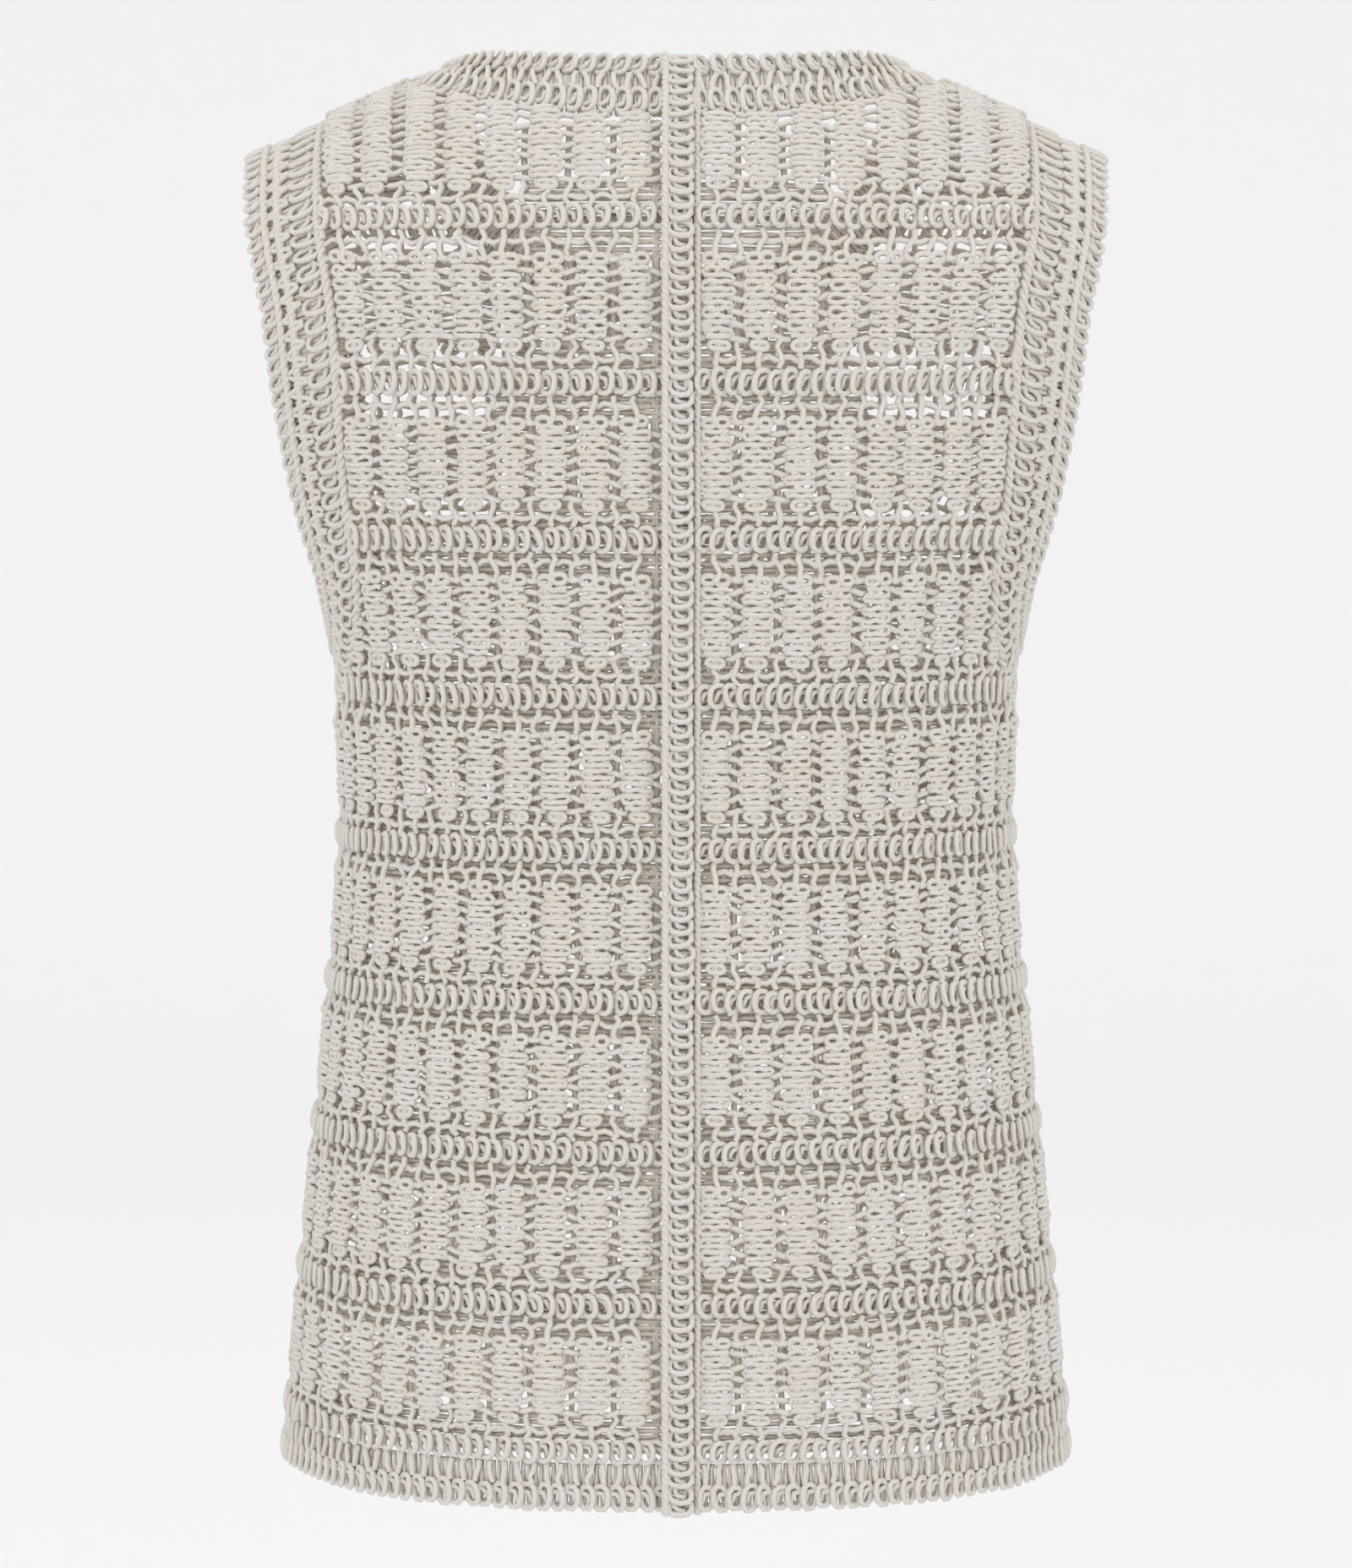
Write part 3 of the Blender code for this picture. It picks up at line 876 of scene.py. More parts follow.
    def puff(self, column: float, row: int) -> None:
        """The puffed column: cord folded to and fro, with two rings above and one below.

        Args:
            column: the column's middle.
            row: the cell's row.
        """
        self.folds(column, row, self.top_row_fingers if row == 0 else self.puff_fingers)
        if row > 0:
            for sign in (-1, 1):
                wide, tall = 0.0026 + self.nudge(0.0002), 0.0019 + self.nudge(0.00015)
                x, y, cosine = oval(self.detail.ring, wide, tall)
                x = x + sign * 0.0028 + self.nudge(0.0003)
                y = y + self.cap_down + self.nudge(0.0005)
                self.lay(column, x, row, y, 0.0014 - sign * 0.0007 * cosine, True, 1.20)
        shift = self.nudge(0.0006)
        wide, tall = 0.0036 + self.nudge(0.0003), 0.0018 + self.nudge(0.00015)
        x, y, cosine = oval(self.detail.ring + 2, wide, tall)
        y = y + self.foot_down + 0.0003 * cosine * self.rng.choice((-1, 1))
        self.lay(column, x + shift, row, y, np.full(len(x), 0.0009), closed=True)
        x, y, _ = oval(5, 0.0014, 0.0005, 1.0)
        y = y + self.foot_down
        self.lay(column, x + shift, row, y, np.full(5, 0.0006), True, 0.7, Layer.INNER)
        if not self.backed:
            y = np.linspace(self.top_row_start if row == 0 else 0.0175, 0.0515, 6)
            x = self.jog(0.0010, 6)
            self.lay(column, x, row, y, np.full(6, -0.0014), False, 1.7, Layer.INNER)

    def shaded(self, column: float, row: int) -> None:
        """Painted shade: closer cords on the inside of the wall, behind the open rows and the gap
        of a column, that stand in for the shade seen through them.

        Args:
            column: the column's middle.
            row: the cell's row.
        """
        half = self.column_width / 2
        for start in self.shade_starts if row > 0 else self.shade_starts[1:]:
            across, down = [], []
            for k in range(self.shade_passes):
                way = 1 if k % 2 else -1
                across += list(np.array([-1.0, 0.0, 1.0]) * half * way)
                down += list(start + self.shade_pitch * k + self.jog(0.0002, 3))
            depth = np.full(len(down), self.shade_lift)
            self.lay(column, across, row, down, depth, False, self.shade_thickness, Layer.SHADE)
        y = np.linspace(self.top_row_start if row == 0 else 0.016, 0.054, 6)
        for gap in (-0.5, 0.5) if column < 0.5 else (0.5,):
            depth = np.full(6, self.shade_lift)
            x = self.jog(0.0004, 6)
            self.lay(column + gap, x, row, y, depth, False, self.gap_thickness, Layer.SHADE)

    def bar(self, places: list, values: list) -> tuple:
        """A short cord's places and values, thinned to the detail that is asked for.

        Args:
            places: its places, evenly numbered.
            values: its values there.

        Returns:
            The thinned places and values.
        """
        if self.detail.bar >= len(places):
            return np.array(places), np.array(values)
        spots = np.linspace(0, len(places) - 1, self.detail.bar)
        known = np.arange(len(places))
        return np.interp(spots, known, places), np.interp(spots, known, values)

    def rungs(self, column: float, row: int) -> None:
        """Short cords from one puff to the next, across the gap outside it.

        Args:
            column: the column's middle.
            row: the cell's row.
        """
        reach = self.column_width / 2 - self.puff_half + 0.0010
        for k in range((self.top_row_fingers if row == 0 else self.puff_fingers) + 1):
            y = self.puff_top + self.finger * (self.puff_fingers - k) + 0.0012 + self.nudge(0.0005)
            size = 0.001 * self.rng.uniform(0.4, 1.3) * self.rng.choice((-1, 1))
            x = np.array([-1.0, -0.35, 0.35, 1.0]) * reach
            bent = y + np.array([0.7, 0.6, -0.7, -0.5]) * size
            lift = np.array([-0.0008, -0.0001, -0.0001, -0.0008]) + self.jog(0.0002, 4)
            self.lay(column + 0.5, x, row, bent, lift)

    def upright(self, column: float, row: int, down: tuple, lift: tuple, swing: float) -> None:
        """One wavy cord from a ridge to the puffs, or back.

        Args:
            column: the place along the row.
            row: the cell's row.
            down: where it starts and ends, down from the upper ridge.
            lift: its height at both ends.
            swing: how far it sways.
        """
        size = swing * self.rng.uniform(0.5, 1.4) * self.rng.choice((-1, 1))
        steps, x = self.bar([0, 1, 2, 3, 4], [0.3, 1.0, -0.4, -1.0, 0.2])
        y = down[0] + (down[1] - down[0]) * steps / 4 + self.jog(0.0003, len(x))
        z = lift[0] + (lift[1] - lift[0]) * steps / 4 + self.jog(0.0003, len(x))
        self.lay(column, x * size + self.jog(0.0003, len(x)), row, y, z)

    def open_rows(self, column: float, row: int) -> None:
        """The uprights and the wavy bars above and below the puff and its gap.

        Args:
            column: the column's middle.
            row: the cell's row.
        """
        gap = column + 0.5
        if row > 0:
            self.upright(gap, row, self.upper_upright, (0.0000, -0.0004), 0.0013)
            self.upright(column, row, (0.0056, 0.0180), (0.0000, 0.0026), 0.0012)
            cup = np.array([0.0002, 0.0011, 0.0004]) + self.jog(0.0003, 3)
            self.lay(gap, [-0.0034, 0.0, 0.0034], row, 0.0168 + cup, [-0.0006, 0.0001, -0.0006])
        self.upright(gap, row, self.lower_upright, (-0.0006, 0.0000), 0.0012)
        self.upright(column, row, (0.0540, 0.0618), (0.0002, 0.0000), 0.0007)
        for level in self.bar_levels if row > 0 else self.bar_levels[1:]:
            for start in (0.0, self.column_width / 2):
                size = 0.001 * self.rng.uniform(0.5, 1.3) * self.rng.choice((-1, 1))
                x, bend = self.bar(
                    [0.0, 0.0022, 0.0044, 0.0066, 0.0087], [-0.6, 0.6, 0.9, -0.2, -0.8]
                )
                tilt = np.linspace(-1, 1, len(x)) * self.nudge(0.0005)
                lift = -0.0003 - 0.0009 * np.abs(np.linspace(-1, 1, len(x))) ** 3
                self.lay(column, start + x, row, level + bend * size + tilt, lift)

    def ridge(self, first: float, last: float, row: int) -> None:
        """A ridge of overlapping rings, each lapped over the one outside it, round a thin coil.

        Args:
            first: column at which it starts.
            last: column at which it ends.
            row: the row above it.
        """
        turns = int(round((last - first) * self.rings_per_column))
        pitch = self.column_width / self.rings_per_column
        for k in range(turns):
            wide = self.ring_half_width * (1 + self.nudge(0.09))
            tall = self.ring_half_height * (1 + self.nudge(0.05))
            x, y, cosine = oval(self.detail.coil, wide, tall)
            tip = self.nudge(0.10)
            x = x + (k + 0.5) * pitch + self.nudge(0.0004) + tip * y
            y = self.cell + y + self.nudge(0.0003)
            lift = 0.0010 - 0.0015 * cosine + self.jog(0.0001, len(x))
            self.lay(first, x, row, y, lift, True, self.ring_thickness)
        t = np.arange(0, turns * self.coil_steps + 1) / self.coil_steps
        angle = t * 2 * math.pi
        across = t * pitch + 0.0013 * np.cos(angle) + self.jog(0.0002, len(t))
        down = self.cell + 0.0024 * np.sin(angle) + self.jog(0.0003, len(t))
        lift = -0.0002 - 0.0008 * np.cos(angle)
        self.lay(first, across, row, down, lift, False, 1.0, Layer.INNER)

    def work_panel(self) -> None:
        """Works a half panel from the centre out to the side seam."""
        form = self.form
        front = self.face is Face.FRONT
        centre = -CENTRE_COLUMN_HALF
        for row, height in enumerate(self.ridges):
            reach = form.columns if height < form.arm_straight else form.arm_column
            self.ridge(centre if front else -0.25, reach, row)
            shaded_to = self.shaded_columns[min(row, len(self.shaded_columns) - 1)]
            for column in [centre if front else -0.5] + list(np.arange(0.5, reach, 1.0)):
                if column > 0 or (front and self.side > 0):
                    self.puff(column, row)
                self.rungs(column, row)
                if column > 0 or front:
                    self.open_rows(column, row)
                # painted shade: cords behind the gaps and open rows of the back
                if not front and column < shaded_to:
                    self.shaded(column, row)
        if not front:
            self.shoulder_seam()

    def shoulder_seam(self) -> None:
        """Two strands laid round each other along the shoulder seam."""
        form = self.form
        at = np.array(float(form.arm_column)), np.array(-0.05)
        end = float(form.length_at(*at, self.face))
        start = form.neck_half + form.neck_width - 0.002
        lengths = np.linspace(start, end, 33)
        turns = np.linspace(0, 9 * math.pi, 33)
        ridge = np.array([form.ridge_rise(s, self.face) for s in lengths])
        for phase in (0.0, math.pi):
            rise = ridge + 0.0010 * np.cos(turns + phase)
            lift = 0.0010 * np.sin(turns + phase) - 0.0012
            self.work.add(form.place(lengths * self.side, rise, lift, self.face), False, 0.95)


def neck_seam_height(form: Form, x: float, face: Face) -> float | None:
    """Height of the seam between the neck band and a panel.

    Args:
        form: the form of the top.
        x: distance from the centre line.
        face: the side of the top.

    Returns:
        The height above that x, or None beyond the neck band.
    """
    outer = form.neck_half + form.neck_width
    if abs(x) >= outer:
        return None
    end = float(form.shoulder(np.array(outer)))
    if face is Face.BACK:
        low = form.neck_back - form.neck_width
        return low + (end - low) * (abs(x) / outer) ** BACK_NECK_POWER
    low = form.neck_front - form.neck_width
    sine = (abs(x) / outer) ** (1 / FRONT_NECK_POWER)
    return end + (low - end) * math.sqrt(1 - sine * sine)


def surface_point(form: Form, x: float, height: float, face: Face) -> np.ndarray:
    """Point of the cloth at an x and a height.

    Args:
        form: the form of the top.
        x: distance from the centre line, not below zero.
        height: the height.
        face: the side of the top.

    Returns:
        The point.
    """
    length = x
    for _ in range(5):
        rise = form.rise_at(length, height, face)
        point = form.place(np.array([length]), np.array([rise]), np.zeros(1), face)[0]
        length = max(length + x - point[0], 0.0)
    return point


# ---------------------------------------------------------------- edgings
@dataclass
class Ribbon:
    """A strip of the cloth, as rows of points across it."""

    grid: np.ndarray
    closed: bool = False
    settle: float = 0.0030
    smoothing: int = 4

    def __post_init__(self) -> None:
        """Measures the strip and finds its normals."""
        grid = self.grid
        if self.closed:
            grid = np.concatenate((grid, grid[:1]))
        self.points = grid
        middle = grid[:, grid.shape[1] // 2]
        self.run = np.concatenate(
            ([0.0], np.cumsum(np.linalg.norm(np.diff(middle, axis=0), axis=1)))
        )
        ends = (grid[-2:-1], grid[1:2]) if self.closed else (grid[:1], grid[-1:])
        along = np.gradient(np.concatenate((ends[0], grid, ends[1])), axis=0)[1:-1]
        normals = self._unit(np.cross(along, np.gradient(grid, axis=1)))
        centre = np.array([0.0, MIDDLE_DEPTH, -0.20])
        outwards = np.sum(normals * (grid - centre), axis=2, keepdims=True)
        normals = np.where(outwards < 0, -normals, normals)
        for _ in range(self.smoothing):
            ends = (normals[-2:-1], normals[1:2]) if self.closed else (normals[:1], normals[-1:])
            padded = np.concatenate((ends[0], normals, ends[1]))
            normals = self._unit(padded[:-2] + 2 * normals + padded[2:])
        self.normals = normals

    @staticmethod
    def _unit(values: np.ndarray) -> np.ndarray:
        """The same directions, one metre long."""
        return values / (np.linalg.norm(values, axis=2, keepdims=True) + TINY)

    @property
    def length(self) -> float:
        """Length of the strip's middle line."""
        return float(self.run[-1])

    def place(self, along: np.ndarray, over: np.ndarray, lift: np.ndarray) -> np.ndarray:
        """Points of the strip.

        Args:
            along: lengths along it.
            over: shares of the way across it.
            lift: distances outwards.

        Returns:
            An array of points.
        """
        if self.closed:
            along = np.mod(along, self.length)
        a = np.interp(along, self.run, np.arange(len(self.run)))
        last = self.points.shape[1] - 1
        b = over * last
        at = sample(self.points, a, b)
        out = sample(self.normals, a, b)
        out /= np.linalg.norm(out, axis=1, keepdims=True) + TINY
        beyond = over - np.clip(over, 0, 1)
        if np.any(beyond != 0):
            step = sample(self.points, a, np.full_like(b, last))
            step = step - sample(self.points, a, np.full_like(b, last - 1))
            at = at + step * (beyond * last)[:, None]
        settled = lift - self.settle * np.clip(out[:, 2], 0, 1) ** 2
        return at + out * settled[:, None]


@dataclass
class Edging:
    """Ring rows, open rows and chains along a ribbon."""

    ribbon: Ribbon
    width: float
    rng: np.random.Generator
    base: float = -0.0009
    ring_points: int = 10
    steps: int = 5
    ring_thickness: float = 1.06
    coil_thickness: float = 1.15
    chain_thickness: float = 0.9
    work: CordWork = field(init=False)
    inner: CordWork = field(init=False)

    def __post_init__(self) -> None:
        """Starts its two sets of cords: the outer stitches, and those inside the wall."""
        self.work = CordWork(self.rng)
        self.inner = CordWork(self.rng)

    def _turns(self, turns: int) -> np.ndarray:
        """Places along a cord of so many turns, `steps` to a turn."""
        count = turns * self.steps + (0 if self.ribbon.closed else 1)
        return np.arange(0, count) / self.steps

    def _kept(self, along: np.ndarray) -> np.ndarray:
        """The same lengths, kept within the ends of an open ribbon."""
        return along if self.ribbon.closed else np.clip(along, 0.0, self.ribbon.length)

    def rings(self, over: float, tall: float, wide: float, pitch: float, swing: float) -> None:
        """A row of overlapping rings.

        Args:
            over: distance across the ribbon of the row's middle, in metres.
            tall: half height of a ring, across the ribbon.
            wide: half width of a ring, along it.
            pitch: distance from ring to ring.
            swing: how far a ring's near side stands above its far side.
        """
        rng = self.rng
        turns = max(int(round(self.ribbon.length / pitch)), 1)
        real = self.ribbon.length / turns
        for k in range(turns):
            ring_wide = wide * (1 + rng.normal(0, 0.06))
            ring_tall = tall * (1 + rng.normal(0, 0.05))
            x, y, cosine = oval(self.ring_points, ring_wide, ring_tall)
            along = (k + 0.5) * real + x + rng.normal(0, 0.0003) + y * rng.normal(0, 0.08)
            lift = self.base + 0.0006 - swing * cosine
            path = self.ribbon.place(self._kept(along), (over + y) / self.width, lift)
            self.work.add(path, True, self.ring_thickness)
        t = self._turns(turns)
        angle = t * 2 * math.pi
        along = self._kept(t * real + wide * 0.42 * np.cos(angle))
        across = over + tall * 0.5 * np.sin(angle) + rng.normal(0, 0.0003, len(t))
        lift = self.base + 0.0001 - swing * 0.4 * np.cos(angle)
        path = self.ribbon.place(along, across / self.width, lift)
        self.work.add(path, self.ribbon.closed, self.coil_thickness)

    def chain(
        self, over: float, pitch: float, spread: float = 0.0007, lift: float = 0.0012
    ) -> None:
        """A chain of two strands that lap each other.

        Args:
            over: distance across the ribbon.
            pitch: length of one lap.
            spread: half width of the chain.
            lift: height of the chain.
        """
        turns = max(int(round(self.ribbon.length / pitch)), 1)
        t = self._turns(turns)
        for phase in (0.0, math.pi):
            angle = t * 2 * math.pi + phase
            along = t * self.ribbon.length / turns
            across = (over + spread * np.cos(angle)) / self.width
            height = self.base + lift + 0.0009 * np.sin(angle)
            path = self.ribbon.place(along, across, height)
            self.work.add(path, self.ribbon.closed, self.chain_thickness)

    def backing(self, low: float, high: float, pitch: float = 0.0027) -> None:
        """One cord to and fro across the ribbon, inside the wall.

        Args:
            low: distance across the ribbon of one turn.
            high: distance of the other.
            pitch: distance from pass to pass.
        """
        count = max(int(self.ribbon.length / pitch), 1)
        steps = max(int(round((high - low) / 0.009)), 2)
        shares = np.linspace(0, 1, steps + 1)
        along = np.repeat((np.arange(count) + 0.5) * self.ribbon.length / count, steps + 1)
        over = np.concatenate([shares if k % 2 else 1 - shares for k in range(count)])
        across = (low + (high - low) * over) / self.width
        lift = np.full(len(along), self.base - 0.0019)
        self.inner.add(self.ribbon.place(along, across, lift), False, 1.0)

    def uprights(self, low: float, high: float, pitch: float, zigzag: float) -> None:
        """An open row of short cords across the ribbon.

        Args:
            low: distance across the ribbon at which they start.
            high: distance at which they end.
            pitch: distance from one to the next.
            zigzag: how far each leans along the ribbon.
        """
        rng = self.rng
        count = max(int(round(self.ribbon.length / pitch)), 1)
        real = self.ribbon.length / count
        for k in range(count):
            way = zigzag if k % 2 else -zigzag
            along = (k + 0.5) * real + np.array([-way, -way / 3, way / 3, way]) / 2
            along = along + rng.normal(0, 0.0004, 4)
            across = np.linspace(low, high, 4)
            lift = self.base + np.array([0.0002, 0.0006, 0.0006, 0.0002])
            self.work.add(self.ribbon.place(along, across / self.width, lift))


# ---------------------------------------------------------------- finishes
def shader_operation(operation: str) -> Callable:
    """A method of Value that adds one Math node.

    Args:
        operation: the node's operation.

    Returns:
        The method.
    """

    def apply(value: "Value", *others: object) -> "Value":
        """Adds the node, and wraps its result."""
        inputs = dict(enumerate((value, *others)))
        made = value.nodes.add("ShaderNodeMath", {"operation": operation}, inputs)
        return Value(value.nodes, made.outputs[0])

    return apply


@dataclass(frozen=True)
class Value:
    """A shader number that can be used in plain arithmetic."""

    nodes: "Nodes"
    socket: bpy.types.NodeSocket

    __add__ = __radd__ = shader_operation("ADD")
    __mul__ = __rmul__ = shader_operation("MULTIPLY")
    __sub__ = shader_operation("SUBTRACT")
    power = shader_operation("POWER")
    sine = shader_operation("SINE")
    angle_with = shader_operation("ARCTAN2")

    def __rsub__(self, other: object) -> "Value":
        """Difference from a number."""
        return (self * -1.0) + other


class Nodes:
    """A material's node tree, filled by one method."""

    def __init__(self, tree: bpy.types.NodeTree) -> None:
        """Takes the tree."""
        self.tree = tree

    def add(self, kind: str, settings: dict, inputs: dict) -> bpy.types.Node:
        """Adds a node.

        Args:
            kind: the node's type.
            settings: its properties, set first; "stops" are a ramp's places and colours.
            inputs: values, wrapped values or sockets, by the input's name or number.

        Returns:
            The node.
        """
        node = self.tree.nodes.new(kind)
        for name, value in settings.items():
            if name == "stops":
                self._ramp(node, value)
            else:
                setattr(node, name, value)
        for name, value in inputs.items():
            if isinstance(value, Value):
                value = value.socket
            if isinstance(value, bpy.types.NodeSocket):
                self.tree.links.new(value, node.inputs[name])
            else:
                node.inputs[name].default_value = value
        return node

    def attribute(self, name: str) -> bpy.types.Node:
        """A node that reads one of the cord's attributes."""
        return self.add("ShaderNodeAttribute", {"attribute_name": name}, {})

    def noise(self, place: bpy.types.NodeSocket, scale: float) -> Value:
        """Soft noise.

        Args:
            place: the coordinates' socket.
            scale: how fine it is.

        Returns:
            The noise, about 0.5 on average.
        """
        inputs = {"Vector": place, "Scale": scale, "Detail": 2.0}
        return Value(self, self.add("ShaderNodeTexNoise", {}, inputs).outputs["Fac"])

    def mix(self, blend: str, factor: Value, first: object, second: tuple) -> object:
        """A colour mixed with a plain one.

        Args:
            blend: the kind of mix.
            factor: how much of the second there is.
            first: the socket of the first colour.
            second: the second colour.

        Returns:
            The mixed colour's socket.
        """
        settings = {"data_type": "RGBA", "blend_type": blend, "clamp_factor": True}
        made = self.add("ShaderNodeMix", settings, {0: factor, 6: first, 7: (*second, 1.0)})
        return made.outputs[2]

    @staticmethod
    def _ramp(node: bpy.types.Node, stops: tuple) -> None:
        """Sets a colour ramp's stops."""
        ramp = node.color_ramp.elements
        while len(ramp) < len(stops):
            ramp.new(0.5)
        for element, (place, colour) in zip(ramp, stops):
            element.position = place
            element.color = (*colour, 1.0)


@dataclass(frozen=True)
class CordFinish:
    """Undyed two-ply cotton cord: matt, faintly flecked, cool and warm plies wound together, with
    painted shade in the grooves between the plies and on the sides that face the inside of the top.
    """

    name: str
    cool: tuple = (0.715, 0.700, 0.675)
    warm: tuple = (0.710, 0.650, 0.595)
    # deep: the colour that the grooves between the plies are mixed towards as painted shade, and
    # the darker flecks, which are the cord's own colour, as well
    deep: tuple = (0.60, 0.545, 0.485)
    # painted shade: the sides of the cords that face the inside of the top are multiplied by this
    # browner, darker colour
    inside_painted_shade: tuple = (0.95, 0.905, 0.85)
    roughness: float = 0.92
    lay: float = 0.0058
    plies: float = 2.0
    fleck_scale: float = 900.0
    drift_scale: float = 70.0
    ply_tint: float = 0.45
    tone_tint: float = 0.25
    noise_tint: float = 0.9
    least_tint: float = 0.12
    groove_shade: float = 0.16
    fleck_shade: float = 0.25
    relief: float = 0.40
    relief_height: float = 0.0005
    sheen: float = 0.25

    def make(self) -> bpy.types.Material:
        """Builds the material.

        Returns:
            The material.
        """
        made = bpy.data.materials.new(self.name)
        made.use_nodes = True
        made.node_tree.nodes.clear()
        nodes = Nodes(made.node_tree)
        ring = nodes.attribute("ring").outputs["Vector"]
        split = nodes.add("ShaderNodeSeparateXYZ", {}, {0: ring})
        along = Value(nodes, nodes.attribute("along").outputs["Fac"])
        tone = Value(nodes, nodes.attribute("tone").outputs["Fac"])
        around = Value(nodes, split.outputs["Y"]).angle_with(Value(nodes, split.outputs["X"]))
        phase = around * self.plies + along * (2 * math.pi * self.plies / self.lay)
        ply = phase.sine() * 0.5 + 0.5
        place = nodes.add("ShaderNodeTexCoord", {}, {})
        fleck = nodes.noise(place.outputs["Object"], self.fleck_scale)
        drift = nodes.noise(place.outputs["Object"], self.drift_scale)
        noise = (drift - 0.5) * self.noise_tint + (fleck - 0.5) * self.noise_tint
        mixed = ply * self.ply_tint + tone * self.tone_tint + noise + self.least_tint
        between = tuple((a + b) / 2 for a, b in zip(self.warm, self.cool))
        stops = ((0.0, self.warm), (0.55, between), (1.0, self.cool))
        colour = nodes.add("ShaderNodeValToRGB", {"stops": stops}, {"Fac": mixed})
        # painted shade in the grooves between the plies, with darker flecks that are the cord's own
        # colour, both mixed towards the deep colour
        groove = (1.0 - ply) * self.groove_shade + (fleck - 0.5) * self.fleck_shade
        shaded = nodes.mix("MIX", groove, colour.outputs["Color"], self.deep)
        # painted shade on the sides of the cords that face the inside of the top
        inside_shaded = nodes.mix("MULTIPLY", self.inward(nodes, place), shaded, self.inside_painted_shade)
        height = ply * 0.8 + fleck * 0.3
        bump = nodes.add(
            "ShaderNodeBump",
            {},
            {"Strength": self.relief, "Distance": self.relief_height, "Height": height},
        )
        shader = nodes.add(
            "ShaderNodeBsdfPrincipled",
            {},
            {
                "Base Color": inside_shaded,
                "Roughness": self.roughness,
                "Normal": bump.outputs["Normal"],
                "Sheen Weight": self.sheen,
                "Sheen Roughness": 0.5,
                "Specular IOR Level": 0.25,
            },
        )
        nodes.add("ShaderNodeOutputMaterial", {}, {"Surface": shader.outputs["BSDF"]})
        return made

    @staticmethod
    def inward(nodes: Nodes, place: bpy.types.Node) -> Value:
        """How far a cord's surface faces the inside of the top: the mask of the painted shade on
        that side.

        Args:
            nodes: the tree's nodes.
            place: the texture coordinates.

        Returns:
            0 on the outside of the cords, and 1 on their inside.
        """
        at = nodes.add("ShaderNodeSeparateXYZ", {}, {0: place.outputs["Object"]})
        facing = nodes.add("ShaderNodeSeparateXYZ", {}, {0: place.outputs["Normal"]})
        x = Value(nodes, at.outputs["X"]) * (1 / HALF_WIDTH**2)
        y = (Value(nodes, at.outputs["Y"]) - MIDDLE_DEPTH) * (1 / HALF_DEPTH**2)
        outward = Value(nodes, facing.outputs["X"]) * x + Value(nodes, facing.outputs["Y"]) * y
        return (outward * (x * x + y * y + 1.0).power(-0.5) * -1.0 - 0.1) * 2.0


# painted tone for the cords inside the wall: browner than the outer cord, to stand in for shade,
# and lighter, to lift the real shadow between the stitches
INNER_SHADE_TONED_CORD = CordFinish(
    "inner_cord", cool=(0.79, 0.75, 0.70), warm=(0.77, 0.71, 0.65), deep=(0.66, 0.60, 0.54)
)
# Painted shade: the browner finish of the cords put behind the gaps and open rows to stand in for
# the shade seen through them.
SHADED_CORD = CordFinish(
    "shaded_cord", cool=(0.82, 0.765, 0.69), warm=(0.79, 0.72, 0.64), deep=(0.68, 0.62, 0.54)
)


# ---------------------------------------------------------------- pieces
@dataclass
class Panels:
    """The two back halves and the front."""

    form: Form
    sweep: CordSweep
    finish: bpy.types.Material
    inner_shade_toned_finish: bpy.types.Material
    shade_finish: bpy.types.Material
    cuts: dict = field(default_factory=dict)

    def make_half(self, name: str, face: Face, side: int, seed: int, node: str) -> None:
        """Works one half of a panel.

        Args:
            name: the piece's name.
            face: the side of the top.
            side: -1 for the left half, +1 for the right.
            seed: seed of its small shifts.
            node: the frame's node that it stands for.
        """
        front = face is Face.FRONT
        rng = np.random.default_rng(seed)
        work, inner, shade = CordWork(rng), CordWork(rng), CordWork(rng)
        detail, sides = (COARSE, 4) if front else (FINE, 5)
        pattern = StitchPattern(self.form, face, side, work, inner, shade, detail, backed=front)
        pattern.work_panel()
        # the inner cords wear a painted shade tone; the shade cords are painted shade
        plan = (
            ("stitches", work, sides, self.finish),
            ("inner_cords", inner, sides - 1, self.inner_shade_toned_finish),
            ("shade_cords", shade, sides - 1, self.shade_finish),
        )
        made = [self.sweep.sweep(f"{name}_{row[0]}", *row[1:]) for row in plan if row[1].points]
        for piece in made:
            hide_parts(node)
            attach(piece, BODY)
            report(piece)
        width, length, area = pattern.cut()
        log.info("%s: cut %.3f by %.3f metres, %.4f square metres", name, width, length, area)
        self.cuts[name] = (made, width, length, area)

    def build(self) -> None:
        """Makes and dresses the panels."""
        self.make_half("back_left", Face.BACK, -1, 11, "back_left")
        self.make_half("back_right", Face.BACK, 1, 12, "back_right")
        self.make_half("front_left", Face.FRONT, -1, 13, "front")
        self.make_half("front_right", Face.FRONT, 1, 14, "front")


